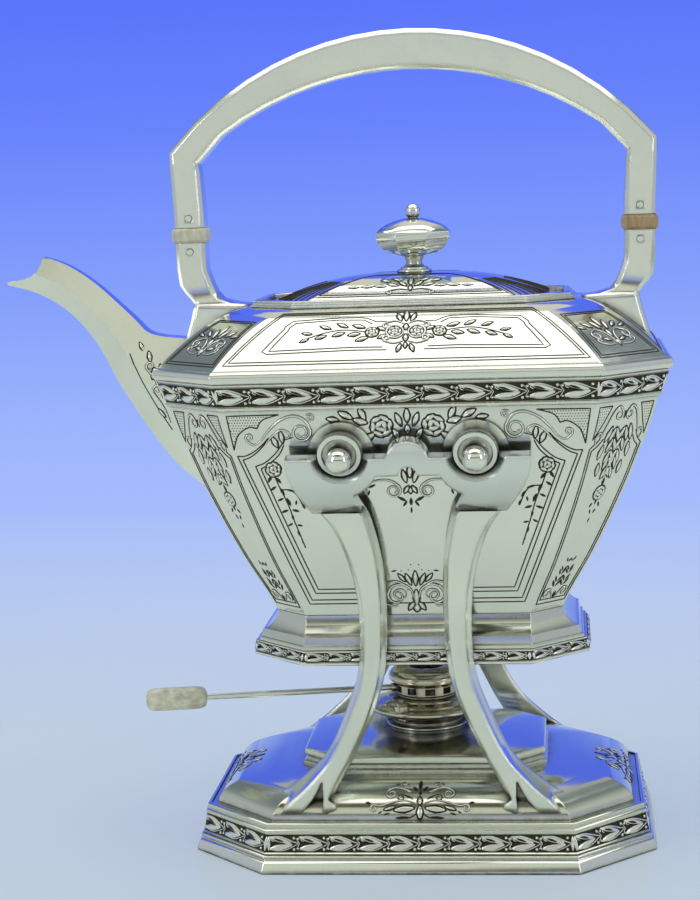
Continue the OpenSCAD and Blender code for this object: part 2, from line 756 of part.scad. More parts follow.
// Right half of the handle, from the crown down to the insulator
arch_cz = crown_z - arch_r;
inner_r = arch_r + 5;
arch_steps = 9;
corner_in = leg_in + 1.6;
handle_half = concat(
  [for (i = [0 : arch_steps - 1])
    let (xo = (handle_span / 2) * i / arch_steps, xi = (corner_in - 1) * i / arch_steps)
    [xi, crown_z - crown_w - inner_r + sqrt(inner_r * inner_r - xi * xi),
      xo, arch_cz + sqrt(arch_r * arch_r - xo * xo)]],
  [
    [corner_in, corner_z - 5, handle_span / 2, corner_z],
    [corner_in - 0.6, corner_z - 9, handle_span / 2, corner_z - 6],
    [leg_in + 0.2, insulator_z + 8, leg_out + 0.2, insulator_z + 8],
    [leg_in, insulator_z, leg_out, insulator_z]
  ]
);
module handle_arch() {
  n = len(handle_half);
  rings = concat(
    [for (i = [n - 1 : -1 : 1])
      let (s = handle_half[i])
      bar_ring(-s[0], s[1], -s[2], s[3], handle_h2, bevel)],
    [for (s = handle_half) bar_ring(s[0], s[1], s[2], s[3], handle_h2, bevel)]
  );
  color(silver) difference() {
    skin([for (i = [len(rings) - 1 : -1 : 0]) rings[i]]);
    both_sides() {
      tenons();
      translate([0, 0, 0.4]) tenons();
      cross_pins(1);
    }
  }
}
module both_sides() {
  children();
  mirror([1, 0, 0]) children();
}

module lid_ring() {
  color(silver) frame(lid_oct, [
    [lid_gap, mouth_z], [ring_w, mouth_z], [ring_w, mouth_z + 0.8], [ring_w - 0.9, mouth_z + 1],
    [ring_w - 0.9, lid_z - 1.3], [ring_w - 1.8, lid_z - 1], [ring_w - 1.8, lid_z - 0.4],
    [ring_w - 2.4, lid_z], [lid_gap + 0.4, lid_z], [lid_gap, lid_z - 0.4]
  ]);
}

// Hinge at the back of the lid, its knuckles in a row along X
knuckle_gap = 0.3;
mid_len = hinge_len * 0.38;
side_len = (hinge_len - mid_len) / 2 - knuckle_gap;
module along_x(r, x0, l) {
  translate([x0, hinge_y, hinge_z]) rotate([0, 90, 0]) cylinder(r = r, h = l, $fn = 36);
}
module hinge_knuckles() {
  color(silver) difference() {
    for (x0 = [-hinge_len / 2, hinge_len / 2 - side_len]) {
      along_x(knuckle_r, x0, side_len);
      translate([x0, hinge_y - knuckle_r + 0.5, mouth_z - 4])
        cube([side_len, 2 * knuckle_r - 0.5, hinge_z - mouth_z + 4]);
    }
    along_x(hinge_pin_r, -30, 60);
    shoulder_outer();
    lid_ring();
  }
}
module hinge_pin() {
  color(dark_silver) along_x(hinge_pin_r, -hinge_len / 2, hinge_len);
}

// The lid, a low faceted dome
lid_steps = 8;
lid_base = mouth_z + 1;
lid_top = lid_base + lid_rise;
boss_oct = [9.5, 8, 3.6];
function lid_line(d, dz) = [
  for (i = [0 : lid_steps])
    let (u = i / lid_steps)
    [
      blend_oct(grow(lid_oct, -2.6 + d), grow(boss_oct, d / 2), u),
      lid_base + dz + lid_rise * (1 - pow(1 - u, 2.2))
    ]
];
module lid_outer() {
  stack(concat([[lid_oct, mouth_z + rest_gap], [lid_oct, lid_base]], lid_line(0, 0.01)));
}
finial_bolt_r = 1.6;
module lid_dome() {
  color(silver) difference() {
    lid_outer();
    stack(concat(
      [[grow(lid_oct, -5), mouth_z - 1], [grow(lid_oct, -5), lid_base - 1.3]],
      lid_line(-3, -1.2)
    ));
    cylinder(r = finial_bolt_r + 0.1, h = 400, $fn = 48);
  }
}
module lid_skirt() {
  depth = 6;
  color(silver) frame(lid_oct, [
    [-4.2, mouth_z - depth], [-3.2, mouth_z - depth], [-3, mouth_z - depth + 0.4],
    [-3, mouth_z + rest_gap], [-4.2, mouth_z + rest_gap]
  ]);
}
module lid_knuckle() {
  leaf_z = lid_z + rest_gap;
  color(silver) difference() {
    union() {
      along_x(knuckle_r, -mid_len / 2, mid_len);
      translate([-mid_len / 2, lid_oct[1] - 8, leaf_z])
        cube([mid_len, hinge_y - lid_oct[1] + 8, 1.4]);
    }
    along_x(hinge_pin_r + run_gap, -30, 60);
    lid_outer();
  }
}

// Finial: a turned stem, a faceted urn and a ball, held by a nut under the lid
function even(r) = [r, r, r * (2 - sqrt(2))];
urn_z = lid_top + 0.22 * finial_h;
ball_z = lid_top + finial_h - 5.6;
module finial_stem() {
  seat_gap = 0.03;
  color(silver) translate([0, 0, lid_top]) rotate_extrude($fn = smooth) polygon([
    [0, -8], [finial_bolt_r, -8], [finial_bolt_r, seat_gap], [7.2, seat_gap], [7.4, 0.6], [7.2, 1.2], [6, 1.5],
    [5.8, 2.2], [4.4, 2.5], [3.6, 3.4], [3.4, 4.4], [4, urn_z - lid_top - 0.8],
    [4.4, urn_z - lid_top], [0, urn_z - lid_top]
  ]);
}
module finial_urn() {
  up = ball_z - 2.2 - urn_z;
  belly = [[0.3, 0], [0.42, 0.02], [0.64, 0.09], [0.81, 0.2], [0.92, 0.33], [0.98, 0.47], [1, 0.58],
    [0.97, 0.65], [0.87, 0.76], [0.7, 0.86], [0.5, 0.94], [0.34, 0.98], [0.26, 1]];
  color(silver) stack([for (b = belly) [even(urn_r * b[0]), urn_z + up * b[1]]]);
}
module finial_ball() {
  r = 3.2;
  color(silver) translate([0, 0, ball_z - 2.2]) rotate_extrude($fn = smooth) polygon(concat(
    [[0, 0], [2, 0], [2, 0.6]],
    [for (i = [0 : 16]) let (t = -52 + 142 * i / 16) [r * cos(t), 4.9 - 2.2 + r * sin(t) + 0.2]],
    [[0, 7.8]]
  ));
}
module finial_nut() {
  color(dark_silver) translate([0, 0, lid_top - 1.2 - 3.2]) difference() {
    cylinder(r = 4.4, h = 3.2, $fn = 6);
    translate([0, 0, -1]) cylinder(r = finial_bolt_r, h = 6, $fn = 36);
  }
}

// The lamp's reservoir; each row is a radius and a height over its foot
font_rows = [
  [lamp_foot_r, 0], [lamp_foot_r, 3.8], [lamp_foot_r + 1.6, 4.6], [0.8 * lamp_rim_r, 6],
  [0.94 * lamp_rim_r, 7.8],
  [lamp_rim_r, 9], [lamp_rim_r, 9.9], [lamp_rim_r - 0.9, 10.4], [lamp_rim_r - 4, 11.2],
  [lamp_rim_r - 4.5, 11.8], [lamp_rim_r - 8, 12.7], [lamp_rim_r - 8.5, 13.3],
  [gallery_r + 0.9, font_h - 0.4], [gallery_r + 0.9, font_h]
];
tube_r = 5;
wick_r = 4.2;
cap_angle = 242;
cap_at = lamp_rim_r - 4.4;
cap_neck_r = 2.2;
neck_top = font_h - 1.6;
module lamp_font() {
  t = 1.1;
  color(silver) translate([0, 0, font_z]) difference() {
    union() {
      rotate_extrude($fn = smooth) polygon(concat([[0, 0]], font_rows, [[0, font_h]]));
      rotate([0, 0, cap_angle]) translate([cap_at, 0, 10.4])
        cylinder(r = cap_neck_r + 1, h = neck_top - 10.4, $fn = 36);
    }
    rotate_extrude($fn = smooth) polygon([
      [0, t], [lamp_foot_r - t, t], [lamp_foot_r - t, 4.4], [0.8 * lamp_rim_r - 1, 7.2],
      [lamp_rim_r - t, 9.3], [lamp_rim_r - 4.6, 9.9], [lamp_rim_r - 5.6, 10.6],
      [gallery_r, font_h - t - 1], [gallery_r - 2, font_h - t], [0, font_h - t]
    ]);
    cylinder(r = tube_r, h = 40, $fn = 48);
    rotate([0, 0, cap_angle]) translate([cap_at, 0, 5])
      cylinder(r = cap_neck_r + run_gap, h = 20, $fn = 36);
  }
}
module filler_cap() {
  at_z = font_z + neck_top + rest_gap;
  color(silver) rotate([0, 0, cap_angle]) translate([cap_at, 0, at_z]) rotate_extrude($fn = 48) polygon([
    [0, -3], [cap_neck_r - 0.4, -3], [cap_neck_r, -2.6], [cap_neck_r, 0], [3.1, 0], [3.2, 0.4],
    [2.6, 0.8], [1.3, 1], [1.1, 1.3], [1.4, 1.7], [1.1, 2.1], [0.5, 2.3], [0, 2.35]
  ]);
}
module air_windows(r, z, h) {
  pane = 2 * PI * r * 0.56 / windows;
  for (k = [0 : windows - 1]) rotate([0, 0, lever_turn + 360 * (k + 0.5) / windows])
    translate([r - 3, -pane / 2, z]) cube([6, pane, h]);
}
window_z = burner_z + 1.2;
gallery_t = 1;
module burner_gallery() {
  up = burner_h - 5.4;
  color(silver) difference() {
    translate([0, 0, burner_z]) rotate_extrude($fn = smooth) polygon([
      [gallery_r - gallery_t, 0], [gallery_r, 0], [gallery_r, up], [gallery_r - gallery_t, up]
    ]);
    air_windows(gallery_r, window_z, window_h);
  }
}
module wick_tube() {
  color(silver) translate([0, 0, burner_z]) rotate_extrude($fn = 48) polygon([
    [wick_r, -9], [tube_r, -9], [tube_r, burner_h - 4.6], [wick_r + 0.3, burner_h - 4.2],
    [wick_r, burner_h - 4.2]
  ]);
}
module wick() {
  color(cotton) translate([0, 0, burner_z]) rotate_extrude($fn = 48) polygon([
    [0, -11], [wick_r, -11], [wick_r, burner_h - 3.6], [wick_r * 0.8, burner_h - 2.6],
    [wick_r * 0.4, burner_h - 2], [0, burner_h - 1.8]
  ]);
}
// The ring that turns over the burner's windows, with its dome
module regulator_dome() {
  r0 = gallery_r + run_gap;
  low = 0.5;
  t = 1;
  color(silver) difference() {
    translate([0, 0, burner_z]) rotate_extrude($fn = smooth) polygon([
      [r0, low], [r0 + t, low], [r0 + t, 4.4], [r0 + 1.9, 4.8], [dome_r - 0.4, 6.2], [dome_r, 7.6],
      [dome_r - 0.3, 9], [dome_r - 1.6, 10.4], [dome_r - 4, burner_h - 0.6], [flame_r + 1, burner_h],
      [flame_r, burner_h], [flame_r, burner_h - 1], [dome_r - 4.4, burner_h - 1.7],
      [dome_r - 2.4, 9.4], [dome_r - 1.2, 7.8], [dome_r - 1.6, 6.8], [r0 + 1.2, 5.9], [r0, 5.4]
    ]);
    air_windows(gallery_r, window_z, window_h);
    lever_bore();
  }
}
lever_turn = 190.5;
lever_z = burner_z + 2.6;
lever_r = 1.3;
module on_lever() {
  translate([0, 0, lever_z]) rotate([0, 0, lever_turn]) children();
}
module lever_bore() {
  on_lever() translate([gallery_r - 2, 0, 0]) rotate([0, 90, 0]) cylinder(r = 0.9, h = 5, $fn = 28);
}
rod_end = lever_len - grip_len * 0.4;
module lever_rod() {
  sleeve_r = gallery_r + run_gap + 1;
  color(silver) on_lever() rotate([0, 90, 0]) {
    translate([0, 0, gallery_r + run_gap + 0.1]) cylinder(r = 0.9, h = 2, $fn = 28);
    difference() {
      union() {
        translate([0, 0, gallery_r]) cylinder(r = lever_r, h = rod_end - gallery_r, $fn = 32);
        translate([0, 0, gallery_r]) cylinder(r = lever_r + 0.5, h = 3.4, $fn = 32);
      }
      rotate([0, -90, 0]) translate([0, 0, -5]) cylinder(r = sleeve_r, h = 10, $fn = smooth);
    }
  }
}
// An oblong grip with rounded ends
function oblong(x, w, h) = [
  for (i = [0 : 15])
    let (t = 360 * i / 16 + 11.25, c = cos(t), s = sin(t))
    [x, w * sign(c) * pow(abs(c), 0.6), h * sign(s) * pow(abs(s), 0.6)]
];
module lever_grip() {
  x0 = lever_len - grip_len;
  w = grip_h * 0.34;
  h = grip_h / 2;
  color(bone) on_lever() difference() {
    skin([for (s = [[0, 0.5, 0.42], [0.9, 0.84, 0.8], [3, 1, 0.97], [6, 1, 1], [grip_len - 6, 1, 1],
      [grip_len - 3, 1, 0.97], [grip_len - 0.9, 0.84, 0.8], [grip_len, 0.5, 0.42]])
      oblong(x0 + s[0], w * s[1], h * s[2])]);
    rotate([0, 90, 0]) translate([0, 0, gallery_r]) cylinder(r = lever_r, h = rod_end - gallery_r, $fn = 32);
  }
}

base_foot_moulding();
base_leaf_band();
base_dome();
lamp_socket();
leg_front_left();
leg_front_right();
leg_back_left();
leg_back_right();
cradle_front();
cradle_back();
kettle_body();
kettle_shoulder();
rim_leaf_band();
rim_bead();
kettle_foot();
foot_leaf_band();
spout();
spout_strainer();
trunnion_front_left();
trunnion_front_right();
trunnion_back_left();
trunnion_back_right();
handle_bracket_left();
handle_bracket_right();
insulator_left();
insulator_right();
handle_arch();
insulator_pins();
lid_ring();
hinge_knuckles();
hinge_pin();
lid_dome();
lid_skirt();
lid_knuckle();
finial_stem();
finial_urn();
finial_ball();
finial_nut();
lamp_font();
burner_gallery();
wick_tube();
wick();
regulator_dome();
lever_rod();
lever_grip();
filler_cap();
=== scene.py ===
from math import atan2, cos, degrees, hypot, pi, radians, sin, tau

import bmesh
import bpy
from mathutils import Matrix, Vector
from mathutils.bvhtree import BVHTree


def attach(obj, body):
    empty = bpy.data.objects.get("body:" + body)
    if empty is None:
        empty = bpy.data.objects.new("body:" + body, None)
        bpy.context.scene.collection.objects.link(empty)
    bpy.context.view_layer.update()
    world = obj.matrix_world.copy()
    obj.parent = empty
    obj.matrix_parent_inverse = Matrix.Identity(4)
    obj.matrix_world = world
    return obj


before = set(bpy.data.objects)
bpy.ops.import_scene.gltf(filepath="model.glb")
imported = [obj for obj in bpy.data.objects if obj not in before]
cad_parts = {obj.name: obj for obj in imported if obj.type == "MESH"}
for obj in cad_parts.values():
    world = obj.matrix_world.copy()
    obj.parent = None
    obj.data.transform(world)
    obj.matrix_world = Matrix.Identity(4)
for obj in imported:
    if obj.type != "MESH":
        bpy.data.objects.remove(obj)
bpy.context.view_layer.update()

# FOOT MOULDING OF THE BASE
# A drawn strip of sterling silver with a bevel and a flat, mitred at the eight corners
# and soldered under the leaf band. It is the one piece that touches the table.
MM = 0.001
UP = Vector((0, 0, 1))


def put(tree, kind, sockets=None, **settings):
    """A shader node; a socket is either a fixed number or colour, or fed by another node's output."""
    made = tree.nodes.new("ShaderNode" + kind)
    for key, value in settings.items():
        setattr(made, key, value)
    for key, value in (sockets or {}).items():
        if isinstance(value, bpy.types.NodeSocket):
            tree.links.new(value, made.inputs[key])
        else:
            made.inputs[key].default_value = value
    return made


def calc(tree, operation, a, b=0.0):
    return put(tree, "Math", {0: a, 1: b}, operation=operation).outputs[0]


def fit(tree, value, low, high, to_low=0.0, to_high=1.0):
    sockets = {"Value": value, "From Min": low, "From Max": high, "To Min": to_low, "To Max": to_high}
    return put(tree, "MapRange", sockets).outputs["Result"]


def blend(tree, share, a, b):
    """Colour a turning into colour b."""
    made = put(tree, "Mix", data_type="RGBA")
    for place, value in ((0, share), (6, a), (7, b)):
        if isinstance(value, bpy.types.NodeSocket):
            tree.links.new(value, made.inputs[place])
        else:
            made.inputs[place].default_value = value
    return made.outputs[2]


def noise(tree, where, scale, detail=3.0, roughness=0.55):
    sockets = {"Vector": where, "Scale": scale, "Detail": detail, "Roughness": roughness}
    return put(tree, "TexNoise", sockets).outputs["Fac"]


def shade_and_wear_group():
    """How handled silver differs from place to place: brown oxide with painted shade in corners, recesses and between
    parts, wiped smears and fine unevenness.
    """
    tree = bpy.data.node_groups.new("silver_shade_and_wear", "ShaderNodeTree")
    for name in ("Reach", "TarnishAndShadeAmount"):
        tree.interface.new_socket(name, in_out="INPUT", socket_type="NodeSocketFloat")
    for name in ("TarnishAndShade", "Smear", "Height"):
        tree.interface.new_socket(name, in_out="OUTPUT", socket_type="NodeSocketFloat")
    given = tree.nodes.new("NodeGroupInput")
    where = put(tree, "TexCoord").outputs["Object"]
    # Ambient occlusion finds corners, recesses and gaps between parts: oxide gathers there, and the same mask paints
    # shade there.
    corner = put(tree, "AmbientOcclusion", {"Distance": given.outputs["Reach"]}, samples=6)
    shut = calc(tree, "SUBTRACT", 1.0, corner.outputs["AO"])
    patchy = fit(tree, noise(tree, where, 160), 0.3, 0.7, 0.55, 1.25)
    dark = calc(tree, "MULTIPLY", fit(tree, shut, 0.16, 0.66), patchy)
    dark = calc(tree, "MULTIPLY", dark, given.outputs["TarnishAndShadeAmount"])
    broad = fit(tree, noise(tree, where, 42, 4), 0.35, 0.7)
    fine = fit(tree, noise(tree, where, 700, 4, 0.65), 0.3, 0.75)
    smear = calc(tree, "ADD", calc(tree, "MULTIPLY", broad, 0.65), calc(tree, "MULTIPLY", fine, 0.35))
    wavy = calc(tree, "MULTIPLY", noise(tree, where, 75, 1), 0.8)
    height = calc(tree, "ADD", wavy, calc(tree, "MULTIPLY", noise(tree, where, 1500, 3), 0.05))
    result = tree.nodes.new("NodeGroupOutput")
    for name, value in (("TarnishAndShade", calc(tree, "MINIMUM", dark, 1.0)), ("Smear", smear), ("Height", height)):
        tree.links.new(value, result.inputs[name])
    return tree


shade_and_wear = shade_and_wear_group()


def metal(name, tint, reach, tarnish_and_shade, smooth, dull, uneven, soft=0.0, cushion=0.0, seam=0.0):
    """Silver: tint where clean, brown-black oxide with painted shade in the corners and between parts, roughness from
    smooth to dull.
    Soft is how far in, in mm, an edge looks rubbed round, but not at a soldered seam at that height
    in mm; a cushion swells round a height in mm."""
    made = bpy.data.materials.new(name)
    made.use_nodes = True
    tree = made.node_tree
    shader = tree.nodes["Principled BSDF"]
    worn_and_shaded = put(tree, "Group", {"Reach": reach * MM, "TarnishAndShadeAmount": tarnish_and_shade}, node_tree=shade_and_wear)
    shade = [part * 0.93 for part in tint] + [1]
    clean = blend(tree, worn_and_shaded.outputs["Smear"], (*tint, 1), shade)
    # Brown-black where the occlusion mask is high: oxide in the hollows, and painted shade between parts and under
    # things.
    colour = blend(tree, worn_and_shaded.outputs["TarnishAndShade"], clean, (0.055, 0.045, 0.028, 1))
    tree.links.new(colour, shader.inputs["Base Color"])
    rough = fit(tree, worn_and_shaded.outputs["Smear"], 0, 1, smooth, dull)
    rough = calc(tree, "ADD", rough, calc(tree, "MULTIPLY", worn_and_shaded.outputs["TarnishAndShade"], 0.35))
    tree.links.new(rough, shader.inputs["Roughness"])
    bump = put(tree, "Bump", {"Strength": uneven, "Distance": 0.5 * MM, "Height": worn_and_shaded.outputs["Height"]})
    place = put(tree, "SeparateXYZ", {0: put(tree, "TexCoord").outputs["Object"]})
    if soft:
        rubbed = put(tree, "Bevel", {"Radius": soft * MM}, samples=6).outputs["Normal"]
        away = calc(tree, "ABSOLUTE", calc(tree, "SUBTRACT", place.outputs["Z"], seam * MM))
        flat = put(tree, "NewGeometry").outputs["Normal"]
        share = fit(tree, away, soft * MM, 1.5 * soft * MM)
        tree.links.new(blend(tree, share, flat, rubbed), bump.inputs["Normal"])
    if cushion:
        over = calc(tree, "MULTIPLY", calc(tree, "SUBTRACT", place.outputs["Z"], cushion * MM), 1 / MM)
        swollen = calc(tree, "MULTIPLY", calc(tree, "POWER", calc(tree, "ABSOLUTE", over), 2.0), -0.016)
        bump = put(tree, "Bump", {"Strength": 1.0, "Distance": MM, "Height": swollen, "Normal": bump.outputs["Normal"]})
    tree.links.new(bump.outputs["Normal"], shader.inputs["Normal"])
    shader.inputs["Metallic"].default_value = 1.0
    return made


silver = metal("silver", (0.88, 0.90, 0.85), 6, 1.0, 0.08, 0.17, 0.10)
chased = metal("chased_silver", (0.90, 0.91, 0.86), 1.6, 1.0, 0.18, 0.30, 0.05)
oxide = metal("oxidised_ground", (0.060, 0.053, 0.036), 3, 0.6, 0.36, 0.55, 0.30)


def soften(mesh, turn, seam):
    """Marks the edges that are rounded, all but those soldered at a seam height in mm."""
    found = {}
    for face in mesh.polygons:
        for i in face.loop_indices:
            edge = mesh.edges[mesh.loops[i].edge_index]
            ends = frozenset(tuple(round(part / MM, 2) for part in mesh.vertices[v].co) for v in edge.vertices)
            found.setdefault(ends, []).append((edge.index, face.normal.copy()))
    marked = mesh.attributes.new("bevel_weight_edge", "FLOAT", "EDGE")
    for ends, uses in found.items():
        low = all(abs(z - seam) < 1.3 for _, _, z in ends)
        soldered = low and any(abs(normal.z) > 0.9 for _, normal in uses)
        if len(uses) == 2 and not soldered and uses[0][1].angle(uses[1][1], 0) > radians(turn):
            for index, _ in uses:
                marked.data[index].value = 1.0


def dress(names, finish, edge=0.25, turn=34, flat=50, seam=0.0):
    """Finish, fine edge rounding and smooth shading for CAD nodes. Flat, up to 100, keeps large faces flat."""
    for name in names.split():
        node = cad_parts[name]
        mesh = node.data
        mesh.materials.clear()
        mesh.materials.append(finish)
        mesh.polygons.foreach_set("use_smooth", [True] * len(mesh.polygons))
        if mesh.attributes.get("custom_normal"):
            mesh.attributes.remove(mesh.attributes["custom_normal"])
        node.modifiers.new("weld", "WELD").merge_threshold = 0.01 * MM
        if edge:
            rounding = node.modifiers.new("edges", "BEVEL")
            rounding.width = edge * MM
            rounding.segments = 2
            rounding.profile = 0.5
            rounding.material = -1
            rounding.angle_limit = radians(turn)
            rounding.use_clamp_overlap = True
            rounding.miter_outer = "MITER_ARC"
            if seam:
                soften(mesh, turn, seam)
                rounding.limit_method = "WEIGHT"
        node.modifiers.new("normals", "WEIGHTED_NORMAL").weight = flat


dress("base_foot_moulding", silver, 0.4)

# LEAF BAND OF THE BASE
# A strip rolled with a running leaf pattern on a dark ground, between two beads.
# Leaves point to the right as seen from outside, with berries on short stems between them.
BASE_BAND = (94.0, 67.6, 31.4)


def tree_of(*names):
    """The CAD surface of these nodes, to draw on."""
    bm = bmesh.new()
    for name in names:
        bm.from_mesh(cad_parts[name].data)
    tree = BVHTree.FromBMesh(bm)
    bm.free()
    return tree


def wall(tree, out, right, up=UP, middle=(0, 0, 0)):
    """A place to draw: u to the right, v upwards in mm, h mm over the surface, as seen along -out."""
    out, right, middle = Vector(out).normalized(), Vector(right).normalized(), Vector(middle) * MM

    def at(u, v, h=0.0):
        start = middle + (right * u + up * v) * MM + out * 0.4
        hit, normal = tree.ray_cast(start, -out)[:2]
        if hit is None:
            raise ValueError(f"nothing to draw on at {u:.1f}, {v:.1f} seen from {tuple(out)}")
        return hit + (normal if normal.dot(out) > 0 else -normal) * (h * MM)

    return at


def sides(a, b, c):
    """The eight sides of a cut-corner plan, from the front one round to the right: middle, outwards, to the right, length."""
    corners = [(c - a, -b), (a - c, -b), (a, c - b), (a, b - c), (a - c, b), (c - a, b), (-a, b - c), (-a, c - b)]
    corners = [Vector((x, y, 0)) for x, y in corners]
    made = []
    for first, last in zip(corners, corners[1:] + corners[:1]):
        right = (last - first).normalized()
        made.append(((first + last) / 2, Vector((right.y, -right.x, 0)), right, (last - first).length))
    return made


def paint(made, finish):
    """Finish and smooth shading for the faces that bmesh has just made."""
    for face in {face for vert in made["verts"] for face in vert.link_faces}:
        face.material_index = finish
        face.smooth = True


def leaf(bm, at, u, v, turn, long, wide, thick=0.5, finish=0, rings=6, lift=0.0):
    """A pointed leaf that lies on the surface with its middle at u, v."""
    du, dv = cos(radians(turn)) * 0.3, sin(radians(turn)) * 0.3
    foot = at(u, v, lift)
    along = (at(u + du, v + dv) - at(u - du, v - dv)).normalized()
    over = (at(u, v, 1) - at(u, v)).normalized()
    across = over.cross(along).normalized()
    over = along.cross(across)
    ball = bmesh.ops.create_uvsphere(bm, u_segments=8, v_segments=rings, radius=1)
    for vert in ball["verts"]:
        x, y, z = vert.co
        slim = 1 - 0.35 * abs(z)
        vert.co = foot + (along * (z * long / 2) + across * (x * slim * wide / 2) + over * (y * slim * thick)) * MM
    paint(ball, finish)


def berry(bm, at, u, v, size, finish=0, lift=0.0):
    foot = Matrix.Translation(at(u, v, lift))
    paint(bmesh.ops.create_icosphere(bm, subdivisions=1, radius=size * MM, matrix=foot), finish)


def piece(name, parts, body, *finishes, slot="silver"):
    """Joins the parts into one object that rides its body."""
    mesh = bpy.data.meshes.new(name)
    whole = bmesh.new()
    for bm in parts:
        bmesh.ops.recalc_face_normals(bm, faces=bm.faces)
        bm.to_mesh(mesh)
        bm.free()
        whole.from_mesh(mesh)
    whole.to_mesh(mesh)
    whole.free()
    for finish in finishes:
        mesh.materials.append(finish)
    made = bpy.data.objects.new(name, mesh)
    bpy.context.scene.collection.objects.link(made)
    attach(made, body)
    return made


def wire(name, strokes, body, finish):
    """Lines laid on a surface. Each stroke is its points and its radius at each, in mm."""
    data = bpy.data.curves.new(name, "CURVE")
    data.dimensions = "3D"
    data.bevel_depth = MM
    data.bevel_resolution = 1
    data.use_fill_caps = True
    for points, sizes in strokes:
        line = data.splines.new("POLY")
        line.points.add(len(points) - 1)
        for point, place, size in zip(line.points, points, sizes):
            point.co = (*place, 1)
            point.radius = size
        line.use_smooth = True
    data.materials.append(finish)
    made = bpy.data.objects.new(name, data)
    bpy.context.scene.collection.objects.link(made)
    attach(made, body)
    return made


def swell(count, size, ends=0.3):
    """Radii of a stroke that is thin at its ends."""
    return [size * (ends + (1 - ends) * sin(pi * (i + 0.5) / count) ** 0.6) for i in range(count)]


def bend(points, parts=5):
    """A smooth line through the points."""
    made = []
    ends = [points[0]] + list(points) + [points[-1]]
    for p0, p1, p2, p3 in zip(ends, ends[1:], ends[2:], ends[3:]):
        for i in range(parts):
            t = i / parts
            weights = (-t + 2 * t * t - t ** 3, 2 - 5 * t * t + 3 * t ** 3, t + 4 * t * t - 3 * t ** 3, t ** 3 - t * t)
            made.append(tuple(sum(w * p[k] for w, p in zip(weights, (p0, p1, p2, p3))) / 2 for k in (0, 1)))
    return made + [tuple(points[-1])]


def straight(points, step=2.5):
    """Straight lines from point to point, cut short enough to follow a curved surface."""
    made = []
    for (u0, v0), (u1, v1) in zip(points, points[1:]):
        parts = max(1, round(hypot(u1 - u0, v1 - v0) / step))
        made += [(u0 + (u1 - u0) * i / parts, v0 + (v1 - v0) * i / parts) for i in range(parts)]
    return made + [tuple(points[-1])]


def lay(at, flat, size, lift=0.0, ends=None):
    """A stroke along a flat line, laid on the surface."""
    points = [at(u, v, lift) for u, v in flat]
    return points, ([size] * len(points) if ends is None else swell(len(points), size, ends))


def slope(tree, number, low, low_z, high, high_z):
    """A sloping side between two plans: u from its own middle, v up the slope from its foot."""
    below, above = sides(*low)[number], sides(*high)[number]
    right = below[2]
    rise = above[0] - below[0] + UP * (high_z - low_z)
    drift = rise.dot(right)
    tall = (rise - right * drift).length
    up = (rise - right * drift) / tall
    flat = wall(tree, right.cross(up), right, up, below[0] + UP * low_z)

    def at(u, v, h=0.0):
        return flat(u + drift * v / tall, v, h)

    return at


def tapered(number, low, high, tall, inset, over=None):
    """The left half of a frame round a sloping side."""
    near, far = sides(*low)[number][3] / 2, sides(*high)[number][3] / 2
    over = over or inset
    left = [(inset - near - (far - near) * v / tall, v) for v in (over, tall - over)]
    return straight([(0, over), *left, (0, tall - over)])


def running_leaves(name, node, plan, low, high, pitch, body):
    """Pairs of leaves with berries, a whole number of them along each side."""
    tree = tree_of(node)
    tall = high - low
    parts, stems = [], []
    for middle, out, right, long in sides(*plan):
        at = wall(tree, out, right, middle=middle)
        bm = bmesh.new()
        parts.append(bm)
        count = round((long - 2) / pitch)
        p = (long - 2) / count
        for end in (-1, 1):
            leaf(bm, at, end * (long / 2 - 0.9), low + 0.5 * tall, 90, 0.96 * tall, 1.7, 0.55)
        for i in range(count):
            left = (i - count / 2) * p
            leaf(bm, at, left + 0.40 * p, low + 0.30 * tall, 11, 0.82 * p, 0.52 * tall, 0.75)
            leaf(bm, at, left + 0.37 * p, low + 0.72 * tall, -15, 0.80 * p, 0.44 * tall, 0.65)
            leaf(bm, at, left + 0.34 * p, low + 0.71 * tall, -16, 0.50 * p, 0.20 * tall, 0.92, 1)
            leaf(bm, at, left + 0.36 * p, low + 0.50 * tall, -4, 0.66 * p, 0.09 * tall, 0.86, 1)
            for du, dv, size in ((0.84, 0.84, 0.11), (0.98, 0.80, 0.10), (0.84, 0.15, 0.11), (0.98, 0.19, 0.09)):
                if i < count - 1 or du < 0.9:
                    berry(bm, at, left + du * p, low + dv * tall, size * tall, lift=0.25)
            curl = [(0.16, 0.62), (0.07, 0.74), (0.14, 0.90), (0.34, 0.93), (0.58, 0.80), (0.80, 0.62), (0.97, 0.52)]
            stems.append(lay(at, bend([(left + u * p, low + v * tall) for u, v in curl], 3), 0.34, 0.1, 0.5))
            under = [(0.06, 0.30), (0.16, 0.10), (0.45, 0.07), (0.70, 0.22), (0.97, 0.48)]
            stems.append(lay(at, bend([(left + u * p, low + v * tall) for u, v in under], 3), 0.26, 0.05, 0.5))
            if i < count - 1:
                for u, v in ((0.90, 0.83), (0.92, 0.17)):
                    stalk = [(left + u * p, low + v * tall), (left + 1.02 * p, low + 0.5 * tall)]
                    stems.append(lay(at, straight(stalk, 1.5), 0.2, 0.05))
    piece(name + "_leaves", parts, body, chased, oxide)
    wire(name + "_stems", stems, body, chased)


def curled(points, size, turns, side=1):
    """A smooth stroke that ends in a curl of this radius, winding left (side 1) or right (side -1)."""
    line = bend(points)
    (u0, v0), (u, v) = line[-2:]
    way = atan2(v - v0, u - u0)
    steps = round(turns * 12)
    for i in range(steps):
        way += side * tau / 12
        reach = size * (1 - 0.62 * i / steps) * tau / 12
        u, v = u + reach * cos(way), v + reach * sin(way)
        line.append((u, v))
    return line


